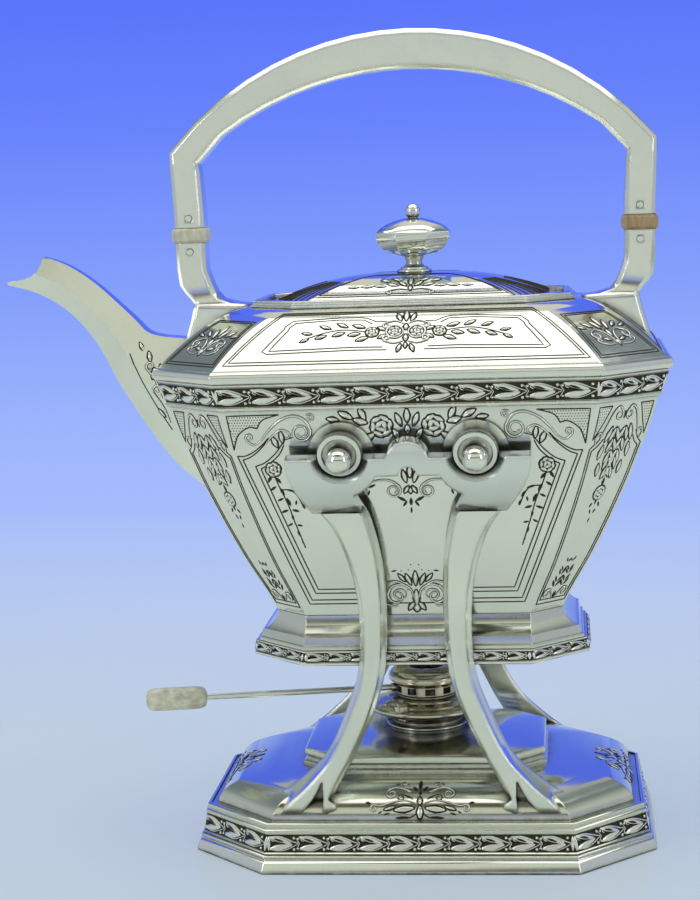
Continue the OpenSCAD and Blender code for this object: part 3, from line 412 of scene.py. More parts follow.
def ring(u, v, wide, tall):
    return [(u + wide * cos(tau * i / 16), v + tall * sin(tau * i / 16)) for i in range(17)]


def petals(u, v, size):
    """An open rose, seen from above, as small leaves."""
    made = []
    for share, count in ((0.74, 6), (0.28, 3)):
        for i in range(count):
            way = 360 * i / count + 90 * share
            place = (u + size * share * cos(radians(way)), v + size * share * sin(radians(way)))
            made.append((*place, way + 80, size * 1.0, size * 0.5))
    return made


def sprig(points, count, long, wide, spread=36, end=0.45):
    """Leaves in pairs along a stem, smaller towards its tip."""
    line = bend(points)
    made = []
    for i in range(count):
        share = i / count
        (u, v), (u1, v1) = line[round(share * (len(line) - 2))], line[round(share * (len(line) - 2)) + 1]
        size = 1 - (1 - end) * share
        for side in (1, -1):
            turn = degrees(atan2(v1 - v, u1 - u)) + side * spread
            reach = long * size * 0.55
            place = (u + cos(radians(turn)) * reach, v + sin(radians(turn)) * reach)
            made.append((*place, turn, long * size, wide * size))
    return made


def inside(corners, u, v):
    """Whether u, v lies within these corners."""
    found = False
    for (u0, v0), (u1, v1) in zip(corners, corners[1:] + corners[:1]):
        if (v0 > v) != (v1 > v) and u < u0 + (u1 - u0) * (v - v0) / (v1 - v0):
            found = not found
    return found


def stipple(corners, step=1.08):
    """Punch marks in staggered rows within these corners."""
    us, vs = [u for u, _ in corners], [v for _, v in corners]
    made = []
    for row in range(int((max(vs) - min(vs)) / step) + 1):
        for column in range(int((max(us) - min(us)) / step) + 1):
            u = min(us) + (column + 0.5 * (row % 2)) * step
            v = min(vs) + row * step
            if inside(corners, u, v):
                made.append((u, v, 0.42))
    return made


def chase(name, body, walls, cuts=(), scrolls=(), leaves=(), marks=(), dots=(), both=True):
    """Chased ornament, the same on each wall and mirrored to the wall's right half.
    Cuts are dark lines and scrolls raised ones with dark sides; leaves are raised on
    a dark ground, marks are dark leaf-shaped cuts, and dots are punch marks."""
    dark, bright, parts = [], [], []
    for at in walls:
        for side in (1, -1) if both else (1,):
            bm = bmesh.new()
            parts.append(bm)

            def there(u, v, h=0.0):
                return at(u * side, v, h)

            for line in cuts:
                dark.append(lay(there, line, 0.31, -0.08))
            for size, line in scrolls:
                dark.append(lay(there, line, size + 0.34, -0.32, 0.6))
                bright.append(lay(there, line, size, 0.16, 0.4))
            for u, v, turn, long, wide in leaves:
                leaf(bm, there, u, v, turn, long + 1.3, wide + 1.2, 0.3, 1)
                leaf(bm, there, u, v, turn, long, wide, 0.55)
            for u, v, turn, long, wide in marks:
                leaf(bm, there, u, v, turn, long, wide, 0.2, 1, 4)
            for u, v, size in dots:
                berry(bm, there, u, v, size, 1, -0.6 * size)
    if leaves or marks or dots:
        piece(name + "_leaves", parts, body, chased, oxide)
    if dark:
        wire(name + "_cuts", dark, body, oxide)
    if bright:
        wire(name + "_scrolls", bright, body, chased)


def darken(name, low, high, slack=0.02):
    """The sunk ground of a band, between its beads, is left dark when the rest is polished."""
    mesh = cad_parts[name].data
    mesh.materials.append(oxide)
    for face in mesh.polygons:
        if abs(face.normal.z) < 0.9 and low - slack < face.center.z / MM < high + slack:
            heights = [mesh.vertices[i].co.z / MM for i in face.vertices]
            outside = Vector((face.center.x, face.center.y, 0)).dot(face.normal) > 0
            if outside and min(heights) > low - 0.3 and max(heights) < high + 0.3:
                face.material_index = 1


aged = metal("aged_silver", (0.78, 0.80, 0.71), 9, 1.0, 0.11, 0.21, 0.12)
dress("base_leaf_band", aged, 0.15)
darken("base_leaf_band", 8.4, 15.6)
running_leaves("base_band", "base_leaf_band", BASE_BAND, 8.7, 15.2, 12.7, "stand")

# DOME, SOCKET, LEGS AND BARS OF THE STAND
# The dome is one sheet, raised to a stepped table in the middle. The socket, the four cast
# legs and the two sawn and filed bars are soldered on.
dress("base_dome", aged, 0.3, 20)
dress("lamp_socket", silver, 0.2)
SEAM = 149.2
cast = metal("cast_silver", (0.88, 0.91, 0.84), 7, 1.0, 0.12, 0.22, 0.12, 2.6, 0.0, SEAM)
# The bars' silver is tinted darker and bluer than the legs': painted reflection of the blue sheet.
blue_painted_bars = metal("bar_silver_painted_blue", (0.80, 0.84, 0.84), 8, 1.0, 0.12, 0.22, 0.12, 1.6, 167.0, SEAM)
dress("leg_front_left leg_front_right leg_back_left leg_back_right", cast, 0.8, 30, 100, SEAM)
dress("cradle_front cradle_back", blue_painted_bars, 0.8, 30, 100, SEAM)

# A crest is chased on the middle of each side of the dome.
dome_tree = tree_of("base_dome")
dome_walls = []
for way, reach in (((0, -1), 55), ((1, 0), 81.4), ((0, 1), 55), ((-1, 0), 81.4)):
    out, up = Vector((*way, 1)), Vector((-way[0], -way[1], 1)).normalized()
    dome_walls.append(wall(dome_tree, out, (-way[1], way[0], 0), up, (way[0] * reach, way[1] * reach, 28)))
dome_scrolls = [
    (0.34, curled([(-3.7, 1.8), (-7.4, 3.6), (-10.8, 4.0), (-13.4, 2.4)], 2.2, 1.2, 1)),
    (0.30, curled([(-4.2, 1.6), (-6.8, 3.6), (-8.2, 6.4)], 1.5, 1.1, -1)),
    (0.34, curled([(-2, -3.6), (-6.2, -2.4), (-11, -3.2), (-16, -4.8), (-18.8, -4.4)], 1.4, 1.1, 1)),
]
dome_cuts = [curled([(-3.0, -1.8), (-5.4, -0.2), (-7.4, 0.6)], 1.6, 1.1, 1), bend([(-9, -9.6), (-4, -9.2), (-1.6, -8)])]
dome_marks = [
    (-2.1, 3.6, 118, 3.8, 1.6), (-4.4, 2.2, 150, 2.6, 1.2), (-4.8, -0.6, 150, 3.2, 1.1), (-9.4, 6.4, 60, 1.6, 0.8),
    (-7.4, -9.2, 4, 6, 1.1), (-13.6, -8.0, 15, 3, 0.9), (-21.2, -3.6, 170, 2.4, 1.4), (-16.2, -7.4, 30, 2, 0.8),
]
dome_leaves = [(-6.4, -6.2, 6, 8.4, 2.6), (-12.4, -5.8, 18, 4.6, 1.3)]
chase("dome", "stand", dome_walls, dome_cuts, dome_scrolls, dome_leaves, dome_marks)
dome_middle = [(0, -2.6, 90, 3.6, 1.9), (0, -7.4, 90, 5.2, 2.6)]
chase("dome_middle", "stand", dome_walls, leaves=dome_middle, marks=[(0, 6.2, 90, 6.4, 2.0), (0, 1.2, 90, 2.6, 1.6)], both=False)

# BODY OF THE KETTLE
# Raised from sheet with four long sides and four cut corners, flared to the rim.
dress("kettle_body", silver, 0.3, 25)
dress("kettle_shoulder rim_bead", silver, 0.3, 20)
dress("kettle_foot", aged, 0.3, 20)
dress("rim_leaf_band foot_leaf_band", silver, 0.15)
darken("rim_leaf_band", 191.3, 199.2)
darken("foot_leaf_band", 83.2, 87.0)
running_leaves("rim_band", "rim_leaf_band", (103.5, 70.6, 27.3), 191.9, 199.0, 13.4, "kettle")
running_leaves("foot_band", "foot_leaf_band", (70.0, 49.0, 23.3), 83.6, 86.8, 9.5, "kettle")

dress("spout spout_strainer", silver, 0.2, 40)
dress("trunnion_front_left trunnion_front_right trunnion_back_left trunnion_back_right", silver, 0.15)
bent = metal("bent_silver", (0.87, 0.89, 0.84), 5, 0.8, 0.10, 0.20, 0.10, 1.3)
dress("handle_bracket_left handle_bracket_right handle_arch", bent, 0.3, 40, 100)
dress("insulator_pins", silver, 0.1)
dress("lid_ring hinge_knuckles hinge_pin", silver, 0.15)

# CHASING ON THE BODY'S LONG SIDES
# Cut with a tracer into the sheet and darkened: a framed panel with stippled corners, a
# scroll and a drop of flowers at each side, two roses under the rim, a crest at the foot.
body_tree = tree_of("kettle_body")
long_walls = [wall(body_tree, (0, -1, 0), (1, 0, 0)), wall(body_tree, (0, 1, 0), (-1, 0, 0))]
stippled = [(-71.6, 187.4), (-52, 187.6), (-57.5, 185.6), (-60, 182.3), (-63.2, 182.9), (-67.5, 180.1), (-69.4, 175)]
frame_cuts = [
    straight([(0, 106.2), (-44.2, 106.2), (-56.6, 139.2), (-68.7, 171)]),
    bend([(-68.7, 171), (-65.7, 171), (-62, 172.7), (-58.2, 175.7), (-55.8, 178.3)]),
    straight([(-15, 108), (-43.2, 108), (-55, 139.2), (-66.6, 169.4)]),
    bend([(-66.6, 169.4), (-63.7, 170.4), (-60.2, 172.9), (-56.7, 176.5)]),
    straight([(-15, 111), (-41.4, 111), (-51.8, 139.2), (-61.7, 166.6)]),
    bend([(-61.7, 166.6), (-57.8, 168.1), (-53.5, 171.7), (-50.7, 175.3), (-49.1, 177.4), (-46, 178.3)]),
    straight([(-15, 112.8), (-40.2, 112.8), (-50, 139.2), (-59.6, 165.5)]),
    bend([(-59.6, 165.5), (-56.4, 167.3), (-52, 171.2), (-49.7, 175.3)]),
    straight([(-51, 187.8), (-72, 187.6), (-69.8, 173.6)]),
    bend([(-69.8, 173.6), (-69.2, 176), (-67.5, 180), (-63.2, 182.9), (-60, 182.3)]),
    bend([(-60, 182.3), (-57.5, 185.8), (-51, 187.8)]),
]
side_scrolls = [
    (0.50, curled([(-58.6, 177.4), (-55.6, 181.2), (-51.2, 185.2), (-45.6, 187.2), (-41, 185.6), (-38.6, 181.4)], 3.9, 1.5, -1)),
    (0.36, curled([(-58.6, 177.4), (-61.8, 175.6), (-64.6, 177.6)], 1.6, 0.9, -1)),
    (0.36, curled([(-56.8, 176.2), (-53.6, 179.6), (-50.4, 181.6), (-47.6, 180.6)], 1.6, 0.5, -1)),
    (0.30, curled([(-40.2, 187.6), (-38.4, 187.8)], 1.4, 1.0, -1)),
]
side_leaves = [(-53.2, 176.6, 115, 5, 2), (-50.4, 178.6, 100, 5, 1.8), *petals(-54.6, 165.2, 3.1)]
drop = [
    (-56.3, 161.2, 60, 3.8, 1.5), (-52.9, 160.6, -50, 3.6, 1.4), (-55.2, 157.2, 35, 3.2, 1.3), (-51.7, 155.8, -62, 4.2, 1.4),
    (-52.6, 152.4, 25, 3, 1.2), (-49.4, 151.4, -66, 4.2, 1.5), (-51.2, 147.4, 20, 3.4, 1.3), (-46.8, 147.6, -15, 3.4, 1.3),
    (-48.2, 144.8, -80, 3.2, 1.1), (-49.4, 141.6, 30, 2.6, 1.1), (-45.6, 141.2, -10, 2.6, 1.0), (-46.2, 137.6, -66, 3.2, 1.0),
    (-44.8, 133.8, -64, 2.4, 0.8), (-48.2, 156.2, -16, 4.2, 1.1), (-45.0, 153.2, -52, 3.6, 1.3), (-43.4, 149.4, -70, 2.8, 1.2),
    (-46.4, 151.0, -100, 2.4, 1.0),
]
drop_stems = [
    bend([(-54.4, 162.6), (-52.4, 157), (-49.8, 150.5), (-47.8, 143.5), (-45.9, 137.5), (-44, 131.4)]),
    bend([(-51.8, 156.6), (-48, 156.2), (-45.4, 153.4), (-43.4, 148.6)]),
]
top_leaves = [
    *petals(-10.3, 182.2, 4.6), (-18.6, 184.4, 165, 5.6, 2.8), (-24.4, 187, 152, 6, 2.6), (-17.8, 187.4, 118, 5.2, 2.4),
    (-15.2, 178, 215, 5, 2.6), (-3.4, 184.8, 112, 5.6, 2.2), (-4.6, 179, -62, 4.6, 2.2), (-29.6, 185.4, 172, 4.6, 2),
]
crest_scrolls = [
    (0.42, curled([(-15.8, 159.2), (-12, 160), (-7.8, 159.6), (-4.6, 157.4)], 2.9, 1.3, -1)),
    (0.40, curled([(-16.6, 118.4), (-12.4, 115.8), (-7.6, 116), (-3, 113.2)], 0.9, 0.4, -1)),
    (0.46, curled([(-1.2, 108.8), (-2.2, 112.4), (-5.6, 114.6), (-9.6, 113.8), (-11.6, 110.6)], 3.6, 0.8, 1)),
    (0.34, ring(-6.6, 110.2, 2.5, 2.2)),
    (0.34, curled([(-13.6, 113.6), (-14.8, 110), (-12.8, 106.2), (-9, 104.8)], 1.0, 0.5, 1)),
]
crest_leaves = [
    (-2.2, 161.4, 104, 5.4, 1.9), (-1.6, 155.8, 60, 3.4, 1.5), (-2.9, 116.8, 112, 5.6, 1.7), (-5.6, 117.6, 128, 4.4, 1.4),
    (-2.2, 104.8, 55, 4.4, 2.0), (-14.2, 106.8, 240, 4, 1.6),
]
crest_marks = [
    (-15.4, 157.4, 205, 3.6, 1.2), (-16.8, 154.6, 250, 2.8, 1.0), (-3.6, 151.8, 152, 4.4, 1.5), (-2.4, 149.8, 235, 3.2, 1.2),
    (-8.6, 120.6, 10, 2.6, 0.9),
]
middle_leaves = [
    (0, 186.4, 90, 5.6, 2.4), (0, 180.8, 90, 3.6, 2.2), (0, 163.4, 90, 5.4, 2.0), (0, 155.4, 90, 2.6, 1.5),
    (0, 117.2, 90, 7, 2.0), (0, 108.4, 90, 8, 2.6), (0, 103.9, 90, 3.4, 3.0),
]
middle_marks = [(0, 150.6, 90, 3.6, 1.6), (0, 147.0, 90, 3.0, 1.0)]
punched = stipple(stippled) + [(-2.8, 121.0, 0.5), (-5.6, 120.6, 0.5), (-1.6, 123.4, 0.5)]
chase("panel_frames", "kettle", long_walls, frame_cuts, side_scrolls, side_leaves, dots=punched)
chase("panel_flowers", "kettle", long_walls, drop_stems, crest_scrolls, top_leaves + crest_leaves, drop + crest_marks)
chase("panel_middle", "kettle", long_walls, leaves=middle_leaves, marks=middle_marks, both=False)

# CHASING ON THE BODY'S CORNERS AND ENDS
# The same frame, narrower, round a pair of crooks with hanging leaves and a rose, and a
# spray at the foot. The ends have the frame and a smaller spray under the spout.
WAIST, TOP = (59.5, 40.5, 13.2), (99.3, 66.3, 24.6)
WIDENED = ((101, 0), (112, 0.147), (124, 0.318), (140, 0.515), (157, 0.705), (168, 0.812), (178, 0.911), (189.6, 1))


def widened(v):
    """How far the body has widened at this height, from 0 at its waist to 1 at its top."""
    for (low, a), (high, b) in zip(WIDENED, WIDENED[1:]):
        if v <= high:
            return a + (b - a) * (v - low) / (high - low)
    return 1.0


def leaning(tree, number):
    """Side number of the body, drawn on from its own middle, which wanders as the body widens."""
    low, high = sides(*WAIST)[number], sides(*TOP)[number]
    drift = (high[0] - low[0]).dot(low[2])
    flat = wall(tree, low[1], low[2], middle=low[0])

    def at(u, v, h=0.0):
        return flat(u + drift * widened(v), v, h)

    return at


def upright(number, inset, low, high, steps=16):
    """The left line of a frame, this far in from the side's edge."""
    near, far = sides(*WAIST)[number][3] / 2, sides(*TOP)[number][3] / 2
    heights = [low + (high - low) * i / steps for i in range(steps + 1)]
    return [(inset - near - (far - near) * widened(v), v) for v in heights]


corner_walls = [leaning(body_tree, number) for number in (1, 3, 5, 7)]
corner_cuts = [
    [(0, 104.4)] + upright(1, 1.6, 104.4, 171),
    [(0, 106.2)] + upright(1, 2.9, 106.2, 170),
    bend([(-14.4, 171), (-11.6, 173.2), (-9.4, 176.4)]),
    bend([(-12.9, 170), (-10.4, 171.8), (-8.4, 174.4)]),
    straight([(-8.2, 187.6), (-15.4, 187.6), (-14.6, 174.6), (-11.4, 180.4), (-8.2, 187.6)]),
]
corner_stipple = stipple([(-15.2, 187.2), (-8.8, 187.2), (-11.8, 180.8), (-14.4, 176)])
corner_scrolls = [
    (0.42, curled([(-10.6, 174.6), (-8.6, 180.2), (-6.2, 185.2), (-3.4, 187), (-1.2, 184.6)], 2.0, 0.9, -1)),
    (0.34, curled([(-12.2, 172.4), (-13.2, 175.2), (-11.8, 177)], 0.9, 0.7, -1)),
    (0.36, curled([(-0.8, 106.6), (-3.4, 110.2)], 1.9, 1.1, 1)),
]
hanging = sprig([(-2.6, 179), (-2.2, 171), (-1.4, 164), (-0.6, 157.6)], 5, 6.6, 2.1, 24, 0.75)
corner_leaves = hanging + [(-6.2, 176, 250, 7, 2.2), (-7.6, 168.8, 262, 6.4, 2.1), (-6.2, 161.6, 275, 5.4, 1.9)] + petals(0, 151.4, 3.0)
corner_marks = [(-2.2, 146.4, 60, 2.8, 1.2), (-1.2, 143.6, 110, 2.6, 1.0)] + sprig([(-2.2, 111), (-2, 118), (-0.6, 127)], 5, 4.4, 1.5, 34, 0.5)
corner_middle = [(0, 183.6, 90, 4, 1.5), (0, 155.8, 90, 4.4, 1.8), (0, 147.6, 90, 3, 1.2), (0, 139.8, 90, 2.6, 0.8), (0, 107.6, 90, 4.4, 2.2)]
chase("corners", "kettle", corner_walls, corner_cuts, corner_scrolls, corner_leaves, corner_marks, corner_stipple)
chase("corners_middle", "kettle", corner_walls, marks=corner_middle, both=False)

end_walls = [leaning(body_tree, number) for number in (2, 6)]
end_cuts = [
    [(0, 106.2)] + upright(2, 3.6, 106.2, 186.6),
    [(0, 108)] + upright(2, 5.2, 108, 185),
    [(0, 111)] + upright(2, 8.0, 111, 182),
    [(0, 112.8)] + upright(2, 9.6, 112.8, 180.4),
]
end_scrolls = [
    (0.42, curled([(-1.2, 117), (-5, 121.5), (-10, 122.6), (-13.4, 119.6)], 2.4, 1.1, 1)),
    (0.38, curled([(-1.2, 119), (-3.6, 125), (-7.4, 127.6)], 2.0, 1.1, 1)),
]
end_leaves = [(-3, 117.6, 155, 6, 2.2), (-1.8, 128.6, 108, 6, 2.2), (-2.4, 114.8, 200, 4.4, 1.8)]
chase("ends", "kettle", end_walls, end_cuts, end_scrolls, end_leaves)
chase("ends_middle", "kettle", end_walls, leaves=[(0, 124, 90, 8, 2.6), (0, 131.6, 90, 5, 1.8)], both=False)

# CHASING ON THE SHOULDER
# Eight sloping panels with double frames. The long ones have a pair of volutes with a
# pendant, flowers and leaves, the corners a spray.
SHOULDER_LOW, SHOULDER_HIGH, SHOULDER_TALL = (103.1, 70.1, 26.8), (70.5, 44.3, 20.2), 32.3
shoulder_tree = tree_of("kettle_shoulder")
shoulder_walls = [slope(shoulder_tree, i, SHOULDER_LOW, 206.5, SHOULDER_HIGH, 226) for i in range(8)]


def shoulder_frames(number):
    return [tapered(number, SHOULDER_LOW, SHOULDER_HIGH, SHOULDER_TALL, inset) for inset in (2.2, 3.5)]


long_cuts = shoulder_frames(0) + [
    straight([(-7.4, 8.0), (-20.4, 8.2), (-55, 7.2), (-57, 8.4), (-48.8, 19.6), (-48.4, 21.2), (-45.2, 24.6), (-26.5, 26)]),
    straight([(-26.5, 26), (-17.8, 25.8), (-15.5, 25.2), (-12, 23), (-7, 23)]),
    straight([(-9, 9.4), (-20.4, 9.6), (-54.2, 8.6), (-47.2, 18.8), (-46.6, 20.6), (-44.2, 23.2), (-27, 24.6), (-17, 24.2), (-13.6, 21.8)]),
    bend([(-14, 17), (-24, 18.6), (-31, 17.6), (-39, 14.6)]),
]
long_scrolls = [
    (0.46, ring(-4.4, 17.0, 3.4, 3.3)),
    (0.40, curled([(-1.0, 21.6), (-4.6, 23.2), (-8.6, 21.8)], 1.6, 1.0, 1)),
    (0.40, curled([(-1.0, 12.2), (-4.6, 11.2), (-8.4, 12.4)], 1.5, 1.0, -1)),
]
long_leaves = [
    *petals(-4.4, 17.0, 2.8), *petals(-13.4, 17.0, 2.6), (-2.8, 25.4, 108, 5, 1.9), (-9.6, 18.8, 150, 3.6, 1.7),
    (-9.4, 14.6, 210, 3.6, 1.7), (-2.6, 8.8, 250, 4, 1.6), (-17.4, 13.6, 200, 5, 1.9), (-20.6, 16.0, 190, 4.6, 1.9),
    (-18.8, 20.4, 160, 5, 1.9), (-25.4, 21.2, 150, 4.8, 1.8), (-26.8, 16.2, 200, 4.8, 1.8), (-32.2, 20.2, 158, 4.4, 1.6),
    (-33.8, 15.0, 200, 4.4, 1.6), (-39.4, 17.0, 170, 3.8, 1.3), (-40.4, 13.4, 205, 3.4, 1.2),
]
chase("shoulder_long", "kettle", shoulder_walls[::4], long_cuts, long_scrolls, long_leaves)
long_middle = [(0, 26.4, 90, 6.6, 2.2), (0, 19.6, 90, 3.4, 2.0), (0, 13.8, 90, 3.6, 1.9), (0, 10.0, 90, 2.8, 1.4)]
chase("shoulder_middle", "kettle", shoulder_walls[::4], leaves=long_middle, both=False)
spray_scrolls = [
    (0.42, curled([(-1, 9), (-1.8, 14), (-5.4, 17.2), (-9.4, 15.8)], 2.3, 1.1, 1)),
    (0.34, curled([(-2, 8.6), (-6, 8.4), (-9.6, 9.8)], 1.2, 0.9, -1)),
]
spray_leaves = [(-2.8, 20.4, 110, 6, 2.0), (-7.2, 20.6, 140, 5, 1.8), (-11.2, 19.4, 160, 4.2, 1.4), (-4.2, 11.4, 160, 4, 1.5)]
chase("shoulder_corners", "kettle", shoulder_walls[1::2], shoulder_frames(1), spray_scrolls, spray_leaves)
spray_middle = [(0, 22.4, 90, 6.4, 2.2), (0, 15.0, 90, 4.4, 2.2), (0, 9.4, 90, 3.6, 1.8)]
chase("spray_middle", "kettle", shoulder_walls[1::2], leaves=spray_middle, both=False)
chase("shoulder_ends", "kettle", shoulder_walls[2::4], shoulder_frames(2))

# CHASING AT THE SPOUT'S ROOT
# A scroll with leaves that grows up each side of the spout from the corner of the body.
spout_tree = tree_of("spout")
near_side, far_side = wall(spout_tree, (0, -1, 0), (1, 0, 0)), wall(spout_tree, (0, 1, 0), (-1, 0, 0))


def mirrored_far(u, v, h=0.0):
    return far_side(-u, v, h)


root_cuts = [bend([(-104.6, 176), (-110.6, 186), (-116.4, 197), (-121.4, 209)])]
root_scrolls = [
    (0.40, curled([(-105, 179), (-107.4, 186), (-111.6, 192.4)], 2.3, 1.1, -1)),
    (0.36, curled([(-107.6, 190), (-110.4, 197.4), (-114.4, 202.6)], 1.7, 1.1, -1)),
]
root_leaves = [
    (-106.6, 194.6, 100, 5, 1.8), (-104.6, 189.6, 95, 4.6, 1.7), (-111.4, 200.4, 80, 5, 1.8), (-108.6, 183.4, 130, 4.4, 1.6),
    (-113.2, 207.4, 100, 4.6, 1.6), (-116.6, 211.6, 118, 4.2, 1.4), (-108.4, 202, 96, 4.2, 1.5),
]
chase("spout_root", "kettle", [near_side, mirrored_far], root_cuts, root_scrolls, root_leaves, both=False)

# LID
dress("lid_dome", silver, 0.3, 20)
dress("lid_skirt lid_knuckle finial_stem finial_urn finial_ball finial_nut", silver, 0.15)

LID_LOW, LID_HIGH, LID_TALL = (57.5, 32, 14.6), (20, 11, 5), 22.4
lid_tree = tree_of("lid_dome")
lid_walls = [slope(lid_tree, i, LID_LOW, 231.8, LID_HIGH, 239.2) for i in range(8)]
lid_cuts = [tapered(0, LID_LOW, LID_HIGH, LID_TALL, inset, inset) for inset in (1.2, 2.4)]
lid_leaves = [
    (-3.4, 9.4, 130, 5.2, 1.8), (-7.4, 8.4, 160, 4.8, 1.7), (-12.6, 7.6, 172, 4.8, 1.6), (-18, 7.4, 178, 4.4, 1.5),
    (-23.4, 7.2, 182, 4, 1.3), (-5.8, 12.8, 145, 4.4, 1.5), (-10.4, 11.8, 160, 4, 1.3),
]
lid_scrolls = [(0.38, curled([(-0.8, 4.8), (-4.6, 5.4), (-9, 4.4)], 1.2, 1.0, 1))]
chase("lid_long", "lid", lid_walls[::4], lid_cuts, lid_scrolls, lid_leaves)
chase("lid_middle", "lid", lid_walls[::4], leaves=[(0, 11.4, 90, 6.4, 2.0), (0, 6, 90, 3.4, 1.7)], both=False)
for number, few in ((1, (0.2, 0.55, 0.9)), (2, (0.0, 0.3, 0.6, 0.9))):
    near, far = (sides(*plan)[number][3] / 2 for plan in (LID_LOW, LID_HIGH))
    ribs = [straight([(-share * near, 0.8), (-share * far, LID_TALL - 2)]) for share in few]
    chase(f"lid_ribs_{number}", "lid", lid_walls[1::2] if number == 1 else lid_walls[2::4], ribs)

# LAMP
# The lamp's font, gallery, wick tube, filler cap and regulator are a darker, browner silver than the rest; the lever
# rod is not.
lamp_darker_silver = metal("lamp_dark_brown_silver", (0.62, 0.57, 0.45), 6, 1.0, 0.12, 0.24, 0.12)
dress("lamp_font burner_gallery wick_tube filler_cap regulator_dome", lamp_darker_silver, 0.15)
dress("lever_rod", silver, 0.15)


def bone(name, pale, deep, streak, rough):
    """Bone or ivory: fine grain along the length, darker pores and stains, a soft gloss."""
    made = bpy.data.materials.new(name)
    made.use_nodes = True
    tree = made.node_tree
    shader = tree.nodes["Principled BSDF"]
    where = put(tree, "TexCoord").outputs["Object"]
    drawn = put(tree, "Mapping", {"Vector": where, "Scale": streak}).outputs["Vector"]
    grain = fit(tree, noise(tree, drawn, 420, 5, 0.65), 0.38, 0.68)
    stain = fit(tree, noise(tree, where, 170, 3), 0.45, 0.75)
    share = calc(tree, "ADD", calc(tree, "MULTIPLY", grain, 0.6), calc(tree, "MULTIPLY", stain, 0.5))
    colour = blend(tree, calc(tree, "MINIMUM", share, 1.0), (*pale, 1), (*deep, 1))
    tree.links.new(colour, shader.inputs["Base Color"])
    tree.links.new(fit(tree, grain, 0, 1, rough, rough + 0.2), shader.inputs["Roughness"])
    bump = put(tree, "Bump", {"Strength": 0.25, "Distance": 0.1 * MM, "Height": grain})
    tree.links.new(bump.outputs["Normal"], shader.inputs["Normal"])
    shader.inputs["Subsurface Weight"].default_value = 0.08
    shader.inputs["Subsurface Radius"].default_value = (1.5 * MM, 1.0 * MM, 0.6 * MM)
    shader.inputs["Subsurface Scale"].default_value = 1.0
    return made


dress("insulator_left", bone("pale_bone", (0.74, 0.73, 0.62), (0.42, 0.40, 0.29), (1, 1, 0.2), 0.35), 0.1)
dress("insulator_right", bone("old_bone", (0.50, 0.36, 0.21), (0.16, 0.08, 0.035), (1, 1, 0.2), 0.40), 0.1)
dress("lever_grip", bone("grip_bone", (0.84, 0.85, 0.74), (0.40, 0.37, 0.26), (0.5, 1, 1), 0.35), 0.0)
dress("wick", bone("cotton", (0.80, 0.77, 0.68), (0.50, 0.46, 0.38), (3, 3, 0.5), 0.80), 0.0)

# TABLE, BACKDROP, LAMPS AND CAMERA
# A plain pale sheet that is table and backdrop in one, with the blue that the silver mirrors.


def backdrop_finish():
    """Pale table that turns into a blue sheet higher up; the sheet itself shows evenly lit, and the table keeps its shadows."""
    made = bpy.data.materials.new("backdrop")
    made.use_nodes = True
    tree = made.node_tree
    shader = tree.nodes["Principled BSDF"]
    where = put(tree, "TexCoord").outputs["Object"]
    place = put(tree, "SeparateXYZ", {0: where})
    cloud = fit(tree, noise(tree, where, 3, 3), 0.3, 0.7)
    table = blend(tree, cloud, (0.72, 0.79, 0.77, 1), (0.75, 0.82, 0.80, 1))
    tree.links.new(table, shader.inputs["Base Color"])
    tree.links.new(fit(tree, cloud, 0, 1, 0.30, 0.38), shader.inputs["Roughness"])
    shader.inputs["Specular IOR Level"].default_value = 0.3
    shade = blend(tree, fit(tree, place.outputs["Y"], 0.1, 0.9), (0.56, 0.70, 1.0, 1), (0.37, 0.50, 0.98, 1))
    for low, high, colour in ((0.0, 0.16, (0.24, 0.355, 0.97, 1)), (0.16, 0.34, (0.14, 0.23, 0.97, 1)), (0.34, 0.50, (0.10, 0.17, 0.96, 1))):
        shade = blend(tree, fit(tree, place.outputs["Z"], low, high), shade, colour)
    seen = put(tree, "LightPath")
    mirrored = calc(tree, "MULTIPLY", seen.outputs["Is Glossy Ray"], fit(tree, place.outputs["Y"], 0.3, 0.8))
    seen = calc(tree, "MAXIMUM", seen.outputs["Is Camera Ray"], mirrored)
    glow = put(tree, "Emission", {"Color": shade, "Strength": 1.0})
    share = calc(tree, "MULTIPLY", seen, fit(tree, place.outputs["Y"], 0.15, 0.9, 0.35, 1.0))
    both = put(tree, "MixShader", {0: share, 1: shader.outputs[0], 2: glow.outputs[0]})
    tree.links.new(both.outputs[0], tree.nodes["Material Output"].inputs["Surface"])
    return made


# One sheet: flat from the table's front edge, curved up behind the object.
FRONT_EDGE, CURVE_START, CURVE_R, SHEET_TOP = -0.85, 0.9, 0.5, 0.6
bm = bmesh.new()
bmesh.ops.create_grid(bm, x_segments=1, y_segments=48, size=1.0)
for vert in bm.verts:
    run = (vert.co.y + 1) / 2 * (CURVE_START - FRONT_EDGE + CURVE_R * pi / 2 + SHEET_TOP)
    flat = min(run, CURVE_START - FRONT_EDGE)
    turn = min(max(run - flat, 0) / CURVE_R, pi / 2)
    rise = max(run - flat - CURVE_R * pi / 2, 0)
    vert.co = (vert.co.x * 3.0, FRONT_EDGE + flat + CURVE_R * sin(turn), CURVE_R * (1 - cos(turn)) + rise)
sheet_mesh = bpy.data.meshes.new("backdrop")
bm.to_mesh(sheet_mesh)
bm.free()
sheet_mesh.polygons.foreach_set("use_smooth", [True] * len(sheet_mesh.polygons))
sheet_mesh.materials.append(backdrop_finish())
sheet = bpy.data.objects.new("backdrop", sheet_mesh)
bpy.context.scene.collection.objects.link(sheet)


def lamp(name, place, aim, wide, tall, power, tint):
    data = bpy.data.lights.new(name, "AREA")
    data.shape = "RECTANGLE"
    data.size, data.size_y = wide, tall
    data.energy = power
    data.color = tint
    made = bpy.data.objects.new(name, data)
    made.location = place
    made.rotation_euler = (Vector(aim) - Vector(place)).to_track_quat("-Z", "Y").to_euler()
    bpy.context.scene.collection.objects.link(made)


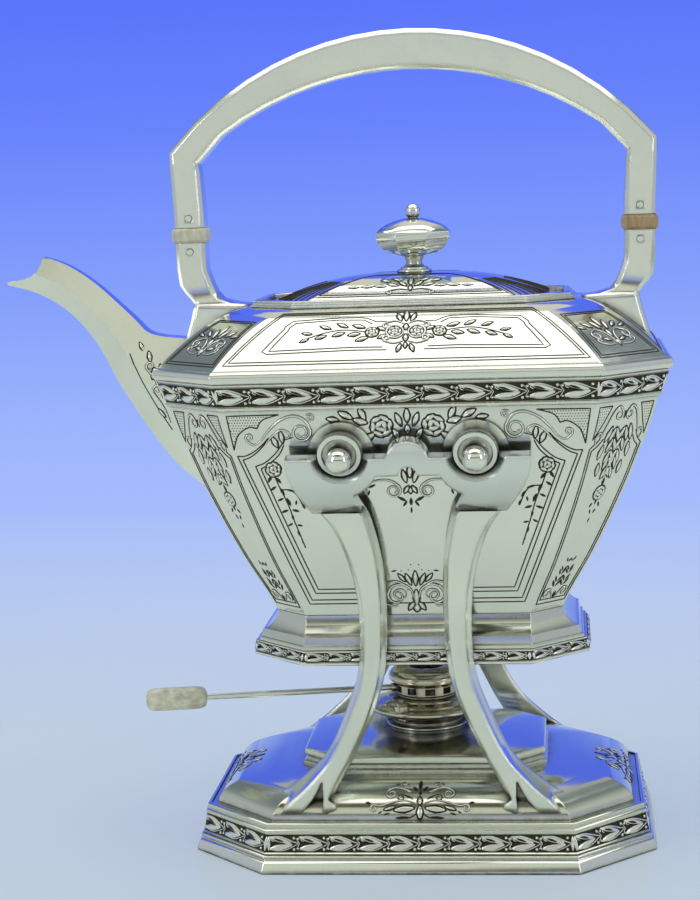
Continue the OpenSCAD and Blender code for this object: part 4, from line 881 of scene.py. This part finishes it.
lamp("softbox_over", (0.0, 0.06, 1.35), (0, 0.0, 0.15), 1.9, 1.25, 9.8, (1.0, 1.0, 0.94))
lamp("softbox_left", (-1.1, -1.0, 0.75), (0, 0, 0.2), 0.35, 0.7, 2.6, (1.0, 0.99, 0.96))
lamp("softbox_right", (1.2, -0.7, 0.6), (0, 0, 0.2), 0.25, 0.7, 1.6, (0.95, 0.98, 1.0))

world = bpy.data.worlds.new("studio")
bpy.context.scene.world = world
world.use_nodes = True
tree = world.node_tree
sky = tree.nodes["Background"]
way = put(tree, "SeparateXYZ", {0: put(tree, "TexCoord").outputs["Generated"]})
height = way.outputs["Z"]
aside = calc(tree, "ABSOLUTE", way.outputs["X"])
room = blend(tree, fit(tree, height, -0.35, -0.2), (0.13, 0.12, 0.08, 1), (0.60, 0.64, 0.58, 1))
for low, high, colour in ((0.12, 0.16, (0.32, 0.40, 0.72, 1)), (0.21, 0.25, (0.11, 0.10, 0.07, 1)), (0.30, 0.36, (0.62, 0.65, 0.54, 1)), (0.72, 0.80, (0.10, 0.09, 0.06, 1)), (0.93, 0.96, (0.26, 0.26, 0.23, 1))):
    room = blend(tree, fit(tree, height, low, high), room, colour)
behind = blend(tree, fit(tree, aside, 0.18, 0.42), (0.66, 0.65, 0.56, 1), (0.17, 0.21, 0.23, 1))
room = blend(tree, fit(tree, way.outputs["Y"], 0.1, 0.35), room, behind)
low = calc(tree, "MULTIPLY", fit(tree, aside, 0.6, 0.85), fit(tree, height, 0.3, 0.6, 1.0, 0.25))
room = blend(tree, low, room, (0.46, 0.50, 0.56, 1))
tree.links.new(room, sky.inputs["Color"])
sky.inputs["Strength"].default_value = 1.0

# The camera stands where the photographer's did, found from the corners of the rim and base.
camera_data = bpy.data.cameras.new("camera")
camera_data.lens = 83.08
camera_data.sensor_width = 36
camera_data.clip_start = 0.05
camera = bpy.data.objects.new("camera", camera_data)
turned = Matrix.Rotation(0.1046, 4, "Z") @ Matrix.Rotation(pi / 2 - 0.1312, 4, "X") @ Matrix.Rotation(-0.0338, 4, "Z")
camera.matrix_world = Matrix.Translation(Vector((62.2, -877.3, 280.8)) * MM) @ turned
bpy.context.scene.collection.objects.link(camera)
bpy.context.scene.camera = camera

scene = bpy.context.scene
scene.view_settings.view_transform = "Standard"
